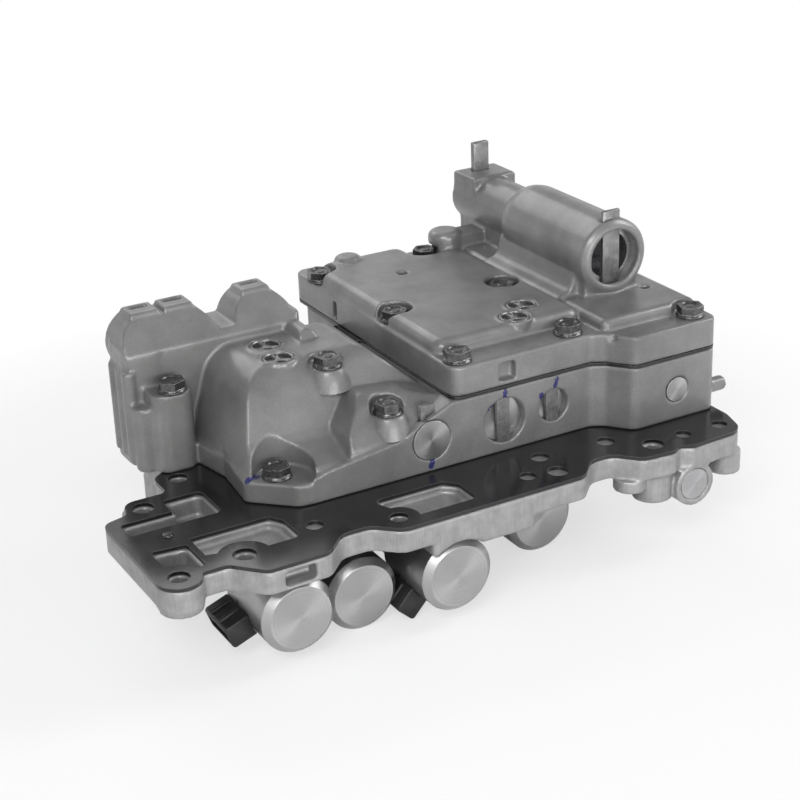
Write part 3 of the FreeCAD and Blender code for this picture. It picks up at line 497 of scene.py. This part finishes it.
# %% Near black coated steel
plate_coat, nodes, links, shader = new_material("coated_steel_plate")
tree = plate_coat.node_tree
skin = place_group(tree, cast_skin, Blotch_Size=30.0, Grain_Size=700.0, Pit_Strength=0.2)
edges = place_group(tree, soft_edges, Radius=0.00035, Sharpness=1.6)
black = ramp_node(tree, skin.outputs["Mottle"], [(0.30, (0.006, 0.006, 0.0065)), (0.72, (0.016, 0.016, 0.017))])
worn = mix_node(tree, edges.outputs["Edge"], black, (0.26, 0.26, 0.26))
links.new(worn, shader.inputs["Base Color"])
gloss = ramp_node(tree, skin.outputs["Mottle"], [(0.30, (0.10,) * 3), (0.70, (0.22,) * 3)])
links.new(gloss, shader.inputs["Roughness"])
links.new(bump_on(tree, skin.outputs["Height"], edges.outputs["Normal"], 0.15, 0.00015), shader.inputs["Normal"])
shader.inputs["Specular IOR Level"].default_value = 0.6

# %% [markdown]
# ## Moulded plastic
#
# The solenoid connectors are black glass-filled nylon, with a fine even texture and slightly grey edges.

# %% Black plastic
plastic, nodes, links, shader = new_material("black_plastic")
tree = plastic.node_tree
skin = place_group(tree, cast_skin, Blotch_Size=120.0, Grain_Size=1600.0, Pit_Strength=0.4)
edges = place_group(tree, soft_edges, Radius=0.0004, Sharpness=1.5)
black = ramp_node(tree, skin.outputs["Mottle"], [(0.30, (0.006, 0.006, 0.006)), (0.70, (0.014, 0.014, 0.014))])
links.new(mix_node(tree, edges.outputs["Edge"], black, (0.05, 0.05, 0.05)), shader.inputs["Base Color"])
gloss = ramp_node(tree, skin.outputs["Grain"], [(0.30, (0.34,) * 3), (0.70, (0.50,) * 3)])
links.new(gloss, shader.inputs["Roughness"])
links.new(bump_on(tree, skin.outputs["Height"], edges.outputs["Normal"], 0.4, 0.0002), shader.inputs["Normal"])

# %% [markdown]
# ## Turned steel and aluminium
#
# Cans, plugs and spools are made on a lathe. The fine rings run round each piece's own axis, so each one
# gets its own copy of the finish, centred on the piece's box. Rings that fine stretch a reflection across
# them: the face of a can shows a bright bow tie through its middle. That comes from the shader's
# anisotropy, with a tangent that runs round the axis.


# %% Turned finish about one piece's axis
def turned_metal(name, centre, dark, light, edge_colour, roughness):
    material, nodes, links, shader = new_material(name)
    tree = material.node_tree
    rings = place_group(tree, turned_rings, Centre=centre, Rings_per_Metre=3600.0)
    skin = place_group(tree, cast_skin, Blotch_Size=70.0, Grain_Size=1400.0, Pit_Strength=0.2)
    edges = place_group(tree, soft_edges, Radius=0.0003, Sharpness=1.8)
    tone = ramp_node(tree, rings.outputs["Tone"], [(0.25, dark), (0.75, light)])
    smudge = ramp_node(tree, skin.outputs["Mottle"], [(0.30, (0.88, 0.88, 0.88)), (0.62, (1.0, 1.0, 1.0))])
    handled = mix_node(tree, 0.8, tone, smudge, blend="MULTIPLY")
    links.new(mix_node(tree, edges.outputs["Edge"], handled, edge_colour), shader.inputs["Base Color"])
    low, high = roughness
    shine = ramp_node(tree, skin.outputs["Mottle"], [(0.30, (high,) * 3), (0.70, (low,) * 3)])
    links.new(shine, shader.inputs["Roughness"])
    fine = bump_on(tree, rings.outputs["Height"], edges.outputs["Normal"], 0.2, 0.00003)
    links.new(fine, shader.inputs["Normal"])
    shader.inputs["Metallic"].default_value = 0.9
    shader.inputs["Anisotropic"].default_value = 0.75
    offset = vector_node(tree, "SUBTRACT", object_place(tree), centre)
    around = vector_node(tree, "CROSS_PRODUCT", (0.0, 1.0, 0.0), offset.outputs["Vector"])
    links.new(vector_node(tree, "NORMALIZE", around.outputs["Vector"]).outputs["Vector"], shader.inputs["Tangent"])
    return material


def turning_centre(node):
    """The point where a node's axis along Y meets its front end."""
    low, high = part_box(node)
    return ((low[0] + high[0]) / 2, low[1], (low[2] + high[2]) / 2)


# %% [markdown]
# ## Small steel parts
#
# Bolts are dark plated, springs and keys are bare steel. They share one finish with fine brushed grain,
# and only differ in tone and shine.


# %% Plated and bare steel
def small_steel(name, dark, light, edge_colour, roughness, metallic):
    material, nodes, links, shader = new_material(name)
    tree = material.node_tree
    skin = place_group(tree, cast_skin, Blotch_Size=260.0, Grain_Size=2200.0, Pit_Strength=0.3)
    edges = place_group(tree, soft_edges, Radius=0.0003, Sharpness=1.6)
    tone = ramp_node(tree, skin.outputs["Mottle"], [(0.30, dark), (0.70, light)])
    links.new(mix_node(tree, edges.outputs["Edge"], tone, edge_colour), shader.inputs["Base Color"])
    low, high = roughness
    shine = ramp_node(tree, skin.outputs["Grain"], [(0.30, (high,) * 3), (0.70, (low,) * 3)])
    links.new(shine, shader.inputs["Roughness"])
    links.new(bump_on(tree, skin.outputs["Height"], edges.outputs["Normal"], 0.4, 0.00012), shader.inputs["Normal"])
    shader.inputs["Metallic"].default_value = metallic
    return material


bolt_plating = small_steel("bolt_steel", (0.07, 0.07, 0.072), (0.17, 0.17, 0.17), (0.50, 0.50, 0.50), (0.18, 0.34), 0.9)
spring_wire = small_steel("spring_steel", (0.22, 0.22, 0.22), (0.34, 0.34, 0.34), (0.5, 0.5, 0.5), (0.25, 0.40), 0.9)
key_stock = small_steel("key_steel", (0.20, 0.20, 0.20), (0.34, 0.34, 0.34), (0.62, 0.62, 0.62), (0.24, 0.40), 0.85)

# %% Give every CAD node its finish
slot_of = {part["node"]: part["material_slot"] for part in frame["record"]["subparts"]}
shared = {
    "raw_aluminium": bright_cast, "cast_aluminium": oily_cast, "coated_steel_plate": plate_coat,
    "black_plastic": plastic, "bolt_steel": bolt_plating, "spring_steel": spring_wire, "key_steel": key_stock,
}
turned_looks = {
    "turned_can": ((0.43, 0.43, 0.427), (0.47, 0.47, 0.467), (0.78, 0.78, 0.77), (0.26, 0.36)),
    "turned_aluminium": ((0.42, 0.42, 0.425), (0.47, 0.47, 0.475), (0.70, 0.70, 0.70), (0.26, 0.38)),
    "spool_aluminium": ((0.36, 0.36, 0.37), (0.48, 0.48, 0.49), (0.66, 0.66, 0.66), (0.22, 0.34)),
}
finish_of = {}
for node, thing in frame["nodes"].items():
    slot = slot_of[node]
    finish = shared.get(slot)
    if finish is None:
        finish = turned_metal(slot + "_" + node, turning_centre(node), *turned_looks[slot])
    finish_of[node] = finish
    for place in thing.material_slots:
        place.material = finish
print("finishes:", len(bpy.data.materials))

# %% [markdown]
# ## Castings with rounded edges
#
# A die casting has no sharp edge: metal has to flow round each one, so every corner gets a small radius
# and every inner corner a fillet. The CAD solid is crisp. Rounding hundreds of edges one by one would be
# fragile, so each casting is rebuilt as a skin of small even cells (a voxel remesh), that skin is relaxed
# by a few smoothing passes, which rounds edges by about a millimetre and leaves flat faces flat, and the
# faces that are not needed on flat ground are merged again.


# %% Merge, remesh, relax and thin a casting
def merged_copy(node):
    """A bmesh of a CAD node's mesh with its loose triangles joined."""
    shape = bmesh.new()
    shape.from_mesh(frame["nodes"][node].data)
    bmesh.ops.remove_doubles(shape, verts=shape.verts, dist=1e-6)
    return shape


def new_piece(name, shape, material, body="valve_body"):
    """Turns a bmesh into a piece that has a finish and rides on a body."""
    mesh = bpy.data.meshes.new(name)
    shape.to_mesh(mesh)
    shape.free()
    return piece_of(name, mesh, material, body)


def piece_of(name, mesh, material, body="valve_body"):
    mesh.materials.clear()
    mesh.materials.append(material)
    piece = bpy.data.objects.new(name, mesh)
    bpy.context.scene.collection.objects.link(piece)
    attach(piece, body)
    return piece


def rounded_casting(node, cell, passes, kept_faces):
    """A copy of a casting with rounded edges, which replaces the node."""
    rough = bpy.data.meshes.new("rough_" + node)
    shape = merged_copy(node)
    shape.to_mesh(rough)
    shape.free()
    helper = bpy.data.objects.new("rough_" + node, rough)
    bpy.context.scene.collection.objects.link(helper)
    skin = helper.modifiers.new("skin", "REMESH")
    skin.mode = "VOXEL"
    skin.voxel_size = cell
    relax = helper.modifiers.new("relax", "SMOOTH")
    relax.factor = 0.5
    relax.iterations = passes
    thin = helper.modifiers.new("thin", "DECIMATE")
    thin.ratio = kept_faces
    evaluated = helper.evaluated_get(bpy.context.evaluated_depsgraph_get())
    mesh = bpy.data.meshes.new_from_object(evaluated)
    mesh.name = "rounded_" + node
    bpy.data.objects.remove(helper)
    mesh.shade_smooth()
    piece = piece_of("rounded_" + node, mesh, finish_of[node])
    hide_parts(node)
    mesh.calc_loop_triangles()
    print(piece.name, "triangles:", len(mesh.loop_triangles))
    return piece


rounded_casting("mid_casting", 0.0007, 4, 0.40)
rounded_casting("upper_casting", 0.0007, 4, 0.55)
rounded_casting("lower_casting", 0.0007, 2, 0.33)

# %% [markdown]
# ## Flange bolts
#
# The castings are held by M6 flange bolts. Their cold-formed heads have a wide sloping flange, six flats
# with the corners cut by a 30 degree cone, and a dish pressed into the top. The head starts as a six-sided
# circle that is divided, lifted and inset; the cone is cut by lowering the rim by its distance outside the
# chamfer circle, which draws the curved lines a real hex head has. Flange and shank are one spun profile.

# %% Measure the solids of a node
def solid_boxes(node):
    """The lowest and highest corner of each separate solid in a node."""
    shape = merged_copy(node)
    unseen = set(shape.verts)
    boxes = []
    while unseen:
        first = unseen.pop()
        solid, edge = [first], [first]
        while edge:
            vert = edge.pop()
            for link in vert.link_edges:
                other = link.other_vert(vert)
                if other in unseen:
                    unseen.remove(other)
                    solid.append(other)
                    edge.append(other)
        low = Vector([min(v.co[i] for v in solid) for i in range(3)])
        high = Vector([max(v.co[i] for v in solid) for i in range(3)])
        boxes.append((low, high))
    shape.free()
    return boxes


# %% Shapes turned on a lathe, and sharp edges kept
def crease_and_smooth(shape, angle=math.radians(28)):
    """Shades faces smooth and keeps the edges sharper than angle as creases."""
    bmesh.ops.recalc_face_normals(shape, faces=shape.faces)
    for face in shape.faces:
        face.smooth = True
    for edge in shape.edges:
        if len(edge.link_faces) == 2 and edge.calc_face_angle(0.0) > angle:
            edge.smooth = False


def spun(shape, profile, steps=48, ring=False):
    """Adds a solid of revolution about Z to a bmesh, from (radius, height) points; a ring's profile closes."""
    lathe = bmesh.new()
    verts = [lathe.verts.new((radius, 0, height)) for radius, height in profile]
    edges = [lathe.edges.new(pair) for pair in zip(verts, verts[1:])]
    if ring:
        edges.append(lathe.edges.new((verts[-1], verts[0])))
    bmesh.ops.spin(
        lathe, geom=verts + edges, axis=(0, 0, 1), cent=(0, 0, 0), angle=2 * math.pi, steps=steps, use_merge=True,
    )
    bmesh.ops.remove_doubles(lathe, verts=lathe.verts, dist=1e-7)
    bmesh.ops.recalc_face_normals(lathe, faces=lathe.faces)
    add_shape(shape, lathe)


def add_shape(shape, other):
    """Adds a finished bmesh to another one, and frees it."""
    carrier = bpy.data.meshes.new("carrier")
    other.to_mesh(carrier)
    other.free()
    shape.from_mesh(carrier)
    bpy.data.meshes.remove(carrier)



# %% One flange bolt
hex_flat = 5.0 * mm
flange_radius = 6.15 * mm
head_height = 4.8 * mm


def hex_head():
    """A hex head on Z = 0, with its corners cut by a cone and a dish in its top."""
    head = bmesh.new()
    bmesh.ops.create_circle(head, cap_ends=True, cap_tris=False, segments=48, radius=hex_flat)
    for vert in head.verts:
        from_flat = math.degrees(math.atan2(vert.co.y, vert.co.x)) % 60 - 30
        vert.co *= 1 / math.cos(math.radians(from_flat))
    raised = bmesh.ops.extrude_face_region(head, geom=list(head.faces))["geom"]
    rim = [part for part in raised if isinstance(part, bmesh.types.BMVert)]
    top = [part for part in raised if isinstance(part, bmesh.types.BMFace)]
    bmesh.ops.translate(head, verts=rim, vec=(0, 0, head_height))
    bmesh.ops.inset_region(head, faces=top, thickness=0.25 * mm)
    chamfer_circle = 0.93 * hex_flat
    for vert in list(top[0].verts):
        scale = chamfer_circle / math.hypot(vert.co.x, vert.co.y)
        vert.co = Vector((vert.co.x * scale, vert.co.y * scale, head_height))
    for vert in rim:
        out = math.hypot(vert.co.x, vert.co.y) - chamfer_circle
        vert.co.z = head_height - out * math.tan(math.radians(30))
    for thickness, depth in ((0.7, 0.0), (0.45, -0.5), (1.3, -0.15), (0.5, 0.3)):
        bmesh.ops.inset_region(head, faces=top, thickness=thickness * mm, depth=depth * mm)
    return head


def flange_bolt(shape, x, y, seat, tip, turn):
    """Adds a flange bolt whose flange lies on seat, turned by an angle in radians."""
    bolt = hex_head()
    corner = hex_flat / math.cos(math.pi / 6)
    spun(bolt, [
        (0.0, 0.0), (flange_radius - 0.15 * mm, 0.0), (flange_radius, 0.2 * mm), (flange_radius, 0.7 * mm),
        (flange_radius - 0.3 * mm, 0.95 * mm), (corner - 0.2 * mm, 1.45 * mm), (hex_flat - 0.6 * mm, 1.6 * mm),
        (0.0, 1.6 * mm),
    ])
    length = seat - tip
    spun(bolt, [
        (0.0, 0.3 * mm), (3.0 * mm, 0.3 * mm), (3.0 * mm, 0.8 * mm - length), (2.3 * mm, -length), (0.0, -length),
    ])
    bmesh.ops.rotate(bolt, verts=bolt.verts, cent=(0, 0, 0), matrix=Matrix.Rotation(turn, 3, "Z"))
    bmesh.ops.translate(bolt, verts=bolt.verts, vec=(x, y, seat))
    add_shape(shape, bolt)


# %% Replace the two sets of bolts
def set_of_bolts(node):
    shape = bmesh.new()
    for number, (low, high) in enumerate(solid_boxes(node)):
        seat = high.z - head_height
        flange_bolt(shape, (low.x + high.x) / 2, (low.y + high.y) / 2, seat, low.z, 0.35 + 0.5 * number)
    crease_and_smooth(shape)
    piece = new_piece("formed_" + node, shape, bolt_plating)
    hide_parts(node)
    print(piece.name, "faces:", len(piece.data.polygons))


set_of_bolts("upper_casting_bolts")
set_of_bolts("mid_casting_bolts")

# %% [markdown]
# ## Cast pads under the bolts on the slope
#
# Where a bolt stands on sloping ground, the casting has a round pad that gives its flange a level seat. Each
# pad is spun with a little draft and a rounded rim, and its foot is sunk in the casting.

# %% Spin the pads
pads = bmesh.new()
for x, y, seat in ((94.0, 58.0, 43.5), (108.0, 34.0, 28.0)):
    pad = bmesh.new()
    spun(pad, [(r * mm, h * mm) for r, h in (
        (0.0, -9.0), (9.8, -9.0), (8.6, -4.5), (7.6, -2.0), (7.0, -0.7), (6.6, -0.15), (6.1, -0.01), (0.0, -0.01),
    )])
    bmesh.ops.translate(pad, verts=pad.verts, vec=in_mm(x, y, seat))
    add_shape(pads, pad)
crease_and_smooth(pads, math.radians(50))
new_piece("cast_bolt_pads", pads, oily_cast)

# %% [markdown]
# ## Solenoid cans
#
# A can is a deep-drawn steel cup whose front was faced on a lathe: a chamfer, a flat face with a
# tiny centre mark, and straight sides. It is one spun profile about the axis of the CAD can. The chamfer
# faces get a finish of their own: smoother, and much brighter in colour, which is a painted highlight.

# %% Spin the four cans
can_chamfer = 2.7 * mm
for letter in "abcd":
    node = "solenoid_can_" + letter
    low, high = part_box(node)
    radius = (high.x - low.x) / 2
    length = high.y - low.y
    profile = [
        (0.0, 0.12 * mm), (0.5 * mm, 0.05 * mm), (1.0 * mm, 0.0), (radius - can_chamfer, 0.0),
        (radius, can_chamfer), (radius, length - 0.4 * mm), (radius - 0.4 * mm, length), (0.0, length),
    ]
    shape = bmesh.new()
    spun(shape, profile, steps=96)
    bmesh.ops.rotate(shape, verts=shape.verts, cent=(0, 0, 0), matrix=Matrix.Rotation(-math.pi / 2, 3, "X"))
    bmesh.ops.translate(shape, verts=shape.verts, vec=((low.x + high.x) / 2, low.y, (low.z + high.z) / 2))
    crease_and_smooth(shape)
    for face in shape.faces:
        middle_of_face = face.calc_center_median()
        if low.y + 0.2 * mm < middle_of_face.y < low.y + can_chamfer:
            face.material_index = 1
    piece = new_piece("drawn_can_" + letter, shape, finish_of[node])
    # Painted highlight: the chamfer's copy of the turned finish is coloured much brighter than the can itself.
    bright = turned_metal(
        "chamfer_" + letter, turning_centre(node), (0.78, 0.78, 0.775), (0.84, 0.84, 0.835), (0.9, 0.9, 0.9), (0.12, 0.20),
    )
    piece.data.materials.append(bright)
    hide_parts(node)
    print(piece.name, [round(c * 1000, 2) for c in low], [round(c * 1000, 2) for c in high])

# %% [markdown]
# ## Oil screens
#
# Four round pockets in the castings hold small filter screens, pressed in from above. Each has a bright
# rolled rim, a hub and three arms that hold the wire cloth down. The rim is a spun ring, the arms are one
# bevelled bar turned three times, and the cloth is a disc whose weave comes from its finish.


# %% Wire cloth finish
wire_cloth, nodes, links, shader = new_material("wire_cloth")
tree = wire_cloth.node_tree
split = nodes.new("ShaderNodeSeparateXYZ")
links.new(object_place(tree), split.inputs["Vector"])
wires = []
for axis in ("X", "Y"):
    phase = math_node(tree, "MULTIPLY", split.outputs[axis], 7500.0)
    wires.append(math_node(tree, "ABSOLUTE", math_node(tree, "SINE", phase)))
weave = math_node(tree, "MINIMUM", wires[0], wires[1])
# Painted shade: the near-black between the lighter wires stands for the dark pocket seen through the openings; the
# lighter grid is the wire weave.
links.new(ramp_node(tree, weave, [(0.15, (0.30, 0.30, 0.30)), (0.55, (0.03, 0.03, 0.03))]), shader.inputs["Base Color"])
worn = noise_node(tree, object_place(tree), 600.0)
links.new(ramp_node(tree, worn, [(0.3, (0.30,) * 3), (0.7, (0.45,) * 3)]), shader.inputs["Roughness"])
shader.inputs["Metallic"].default_value = 0.8

# %% Build the four screens
screen_places = [(78.6, 84.0, 47.0), (77.0, 68.6, 47.0), (186.4, 56.4, 0.0), (176.6, 46.6, 0.0)]


def pocket_top(x, y):
    """The height of the upper casting's plateau beside a point, measured by a ray from above."""
    casting = bpy.data.objects["rounded_upper_casting"]
    hit, where, normal, face = casting.ray_cast(Vector((x, y + 9.0 * mm, 0.2)), Vector((0, 0, -1)))
    return where.z


frames = bmesh.new()
cloths = bmesh.new()
for number, (x, y, top) in enumerate(screen_places):
    x, y = x * mm, y * mm
    top = top * mm if top else pocket_top(x, y)
    one = bmesh.new()
    rim = [(5.3, -1.7), (5.3, 0.0), (5.6, 0.4), (6.1, 0.5), (6.45, 0.3), (6.5, -0.2), (6.5, -1.7)]
    spun(one, [(radius * mm, height * mm) for radius, height in rim], steps=64, ring=True)
    hub = [(0.0, -1.7), (1.5, -1.7), (1.5, -0.5), (1.1, -0.1), (0.0, 0.0)]
    spun(one, [(radius * mm, height * mm) for radius, height in hub], steps=32)
    for arm in range(3):
        bar = bmesh.new()
        bmesh.ops.create_cube(bar, size=1.0)
        bmesh.ops.scale(bar, verts=bar.verts, vec=(4.9 * mm, 1.1 * mm, 1.2 * mm))
        bmesh.ops.bevel(
            bar, geom=list(bar.edges), offset=0.25 * mm, offset_type="OFFSET", affect="EDGES", segments=2, profile=0.5,
            material=-1, clamp_overlap=True,
        )
        bmesh.ops.translate(bar, verts=bar.verts, vec=(3.3 * mm, 0, -0.9 * mm))
        bmesh.ops.rotate(
            bar, verts=bar.verts, cent=(0, 0, 0), matrix=Matrix.Rotation(math.radians(120 * arm + 70), 3, "Z"),
        )
        add_shape(one, bar)
    bmesh.ops.translate(one, verts=one.verts, vec=(x, y, top))
    add_shape(frames, one)
    cloth = bmesh.new()
    spun(cloth, [(0.0, -1.75 * mm), (5.6 * mm, -1.75 * mm), (5.6 * mm, -1.6 * mm), (0.0, -1.35 * mm)], steps=32)
    bmesh.ops.translate(cloth, verts=cloth.verts, vec=(x, y, top))
    add_shape(cloths, cloth)
    print("screen", number, "at height", round(top * 1000, 2), "mm")
crease_and_smooth(frames)
crease_and_smooth(cloths)
new_piece("screen_frames", frames, key_stock)
new_piece("screen_cloths", cloths, wire_cloth)

# %% [markdown]
# ## Bars, keys and connectors with broken edges
#
# Stamped keys and moulded connectors are simple shapes, but no real one has a knife edge. Their meshes are
# joined, flat ground is dissolved to whole faces again, and every sharp edge gets a narrow bevel.


# %% Bevel the sharp edges of a simple node
def broken_edges(node, width, segments=2, angle=math.radians(35)):
    shape = merged_copy(node)
    bmesh.ops.dissolve_limit(
        shape, angle_limit=math.radians(1), use_dissolve_boundaries=False, verts=shape.verts, edges=shape.edges,
    )
    sharp = [e for e in shape.edges if len(e.link_faces) == 2 and e.calc_face_angle(0.0) > angle]
    bmesh.ops.bevel(
        shape, geom=sharp, offset=width, offset_type="OFFSET", affect="EDGES", segments=segments, profile=0.5,
        material=-1, clamp_overlap=True,
    )
    crease_and_smooth(shape)
    piece = new_piece("eased_" + node, shape, finish_of[node])
    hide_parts(node)
    print(piece.name, "faces:", len(piece.data.polygons))


broken_edges("rear_valve_key", 0.7 * mm, 3)
broken_edges("accumulator_key", 0.4 * mm)
broken_edges("boss_valve_keys", 0.25 * mm)
broken_edges("solenoid_clips", 0.25 * mm)

# %% [markdown]
# ## Solenoid connectors
#
# The plug side of a moulded connector is a hollow shroud: a thin wall round a deep socket. The far face of
# the CAD block is inset and pushed in, the edges are broken, and two ribs and a latch run along it.

# %% Hollow the connectors
for letter in "abcd":
    node = "solenoid_connector_" + letter
    can_low, can_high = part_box("solenoid_can_" + letter)
    low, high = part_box(node)
    out = (low + high) / 2 - (can_low + can_high) / 2
    out.y = 0
    out.normalize()
    shape = merged_copy(node)
    bmesh.ops.dissolve_limit(
        shape, angle_limit=math.radians(1), use_dissolve_boundaries=False, verts=shape.verts, edges=shape.edges,
    )
    far = max(shape.faces, key=lambda face: face.normal.dot(out) * face.calc_area() + face.calc_center_median().dot(out))
    centre = far.calc_center_median()
    across = far.normal.cross(Vector((0, 1, 0))).normalized()
    sharp = [e for e in shape.edges if len(e.link_faces) == 2 and e.calc_face_angle(0.0) > math.radians(35)]
    bmesh.ops.inset_region(shape, faces=[far], thickness=1.4 * mm)
    bmesh.ops.inset_region(shape, faces=[far], thickness=0.2 * mm, depth=-6.0 * mm)
    bmesh.ops.bevel(
        shape, geom=sharp, offset=0.5 * mm, offset_type="OFFSET", affect="EDGES", segments=2, profile=0.5,
        material=-1, clamp_overlap=True,
    )
    box_turn = Matrix((across, Vector((0, 1, 0)), far.normal)).transposed()
    for side, along, height in ((1, -6.0, 9.0), (1, 0.0, 11.0), (1, 6.0, 9.0), (-1, -3.0, 9.0), (-1, 5.0, 9.0)):
        rib = bmesh.new()
        bmesh.ops.create_cube(rib, size=1.0)
        bmesh.ops.scale(rib, verts=rib.verts, vec=(1.6 * mm, 1.8 * mm, height * mm))
        bmesh.ops.bevel(
            rib, geom=list(rib.edges), offset=0.35 * mm, offset_type="OFFSET", affect="EDGES", segments=2, profile=0.5,
            material=-1, clamp_overlap=True,
        )
        bmesh.ops.rotate(rib, verts=rib.verts, cent=(0, 0, 0), matrix=box_turn)
        move = centre + across * side * 4.9 * mm + Vector((0, along * mm, 0)) - far.normal * (height / 2 + 0.6) * mm
        bmesh.ops.translate(rib, verts=rib.verts, vec=move)
        add_shape(shape, rib)
    crease_and_smooth(shape)
    piece = new_piece("moulded_connector_" + letter, shape, plastic)
    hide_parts(node)
    print(piece.name, "faces:", len(piece.data.polygons))

# %% [markdown]
# ## Return springs
#
# Each return spring stands between its valve and the end of the bore. When the valve slides, the coils close
# up towards the fixed end, and the spring gets shorter by the valve's travel. Each spring named by a joint is
# copied here as a smooth-shaded piece with a mesh of its own, which rides on the valve body.

# %% Copy each spring named by a joint
for joint in frame["record"]["behaviour"]["joints"]:
    for soft in joint.get("deforming_nodes") or []:
        node = soft["node"]
        low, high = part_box(node)
        shape = merged_copy(node)
        crease_and_smooth(shape)
        piece = new_piece("coil_" + node, shape, finish_of[node])
        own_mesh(piece)
        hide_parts(node)
        print(piece.name, "shortens with", joint["name"])

# %% [markdown]
# ## Locating pin
#
# A small pin near the left end holds the plate in its place on the casting while the stack is bolted up.
# Only its domed and slotted head shows.

# %% Spin the pin
pin = bmesh.new()
spun(pin, [(r * mm, h * mm) for r, h in (
    (0.0, -1.6), (1.3, -1.6), (1.3, 0.0), (2.0, 0.0), (2.1, 0.2), (1.9, 0.6), (1.3, 0.9), (0.9, 0.8), (0.6, 0.45), (0.0, 0.4),
)], steps=32)
bmesh.ops.translate(pin, verts=pin.verts, vec=in_mm(9.3, 32.5, 1.62))
crease_and_smooth(pin)
new_piece("locating_pin", pin, bolt_plating)

# %% Picture settings
bpy.context.scene.view_settings.view_transform = "Standard"
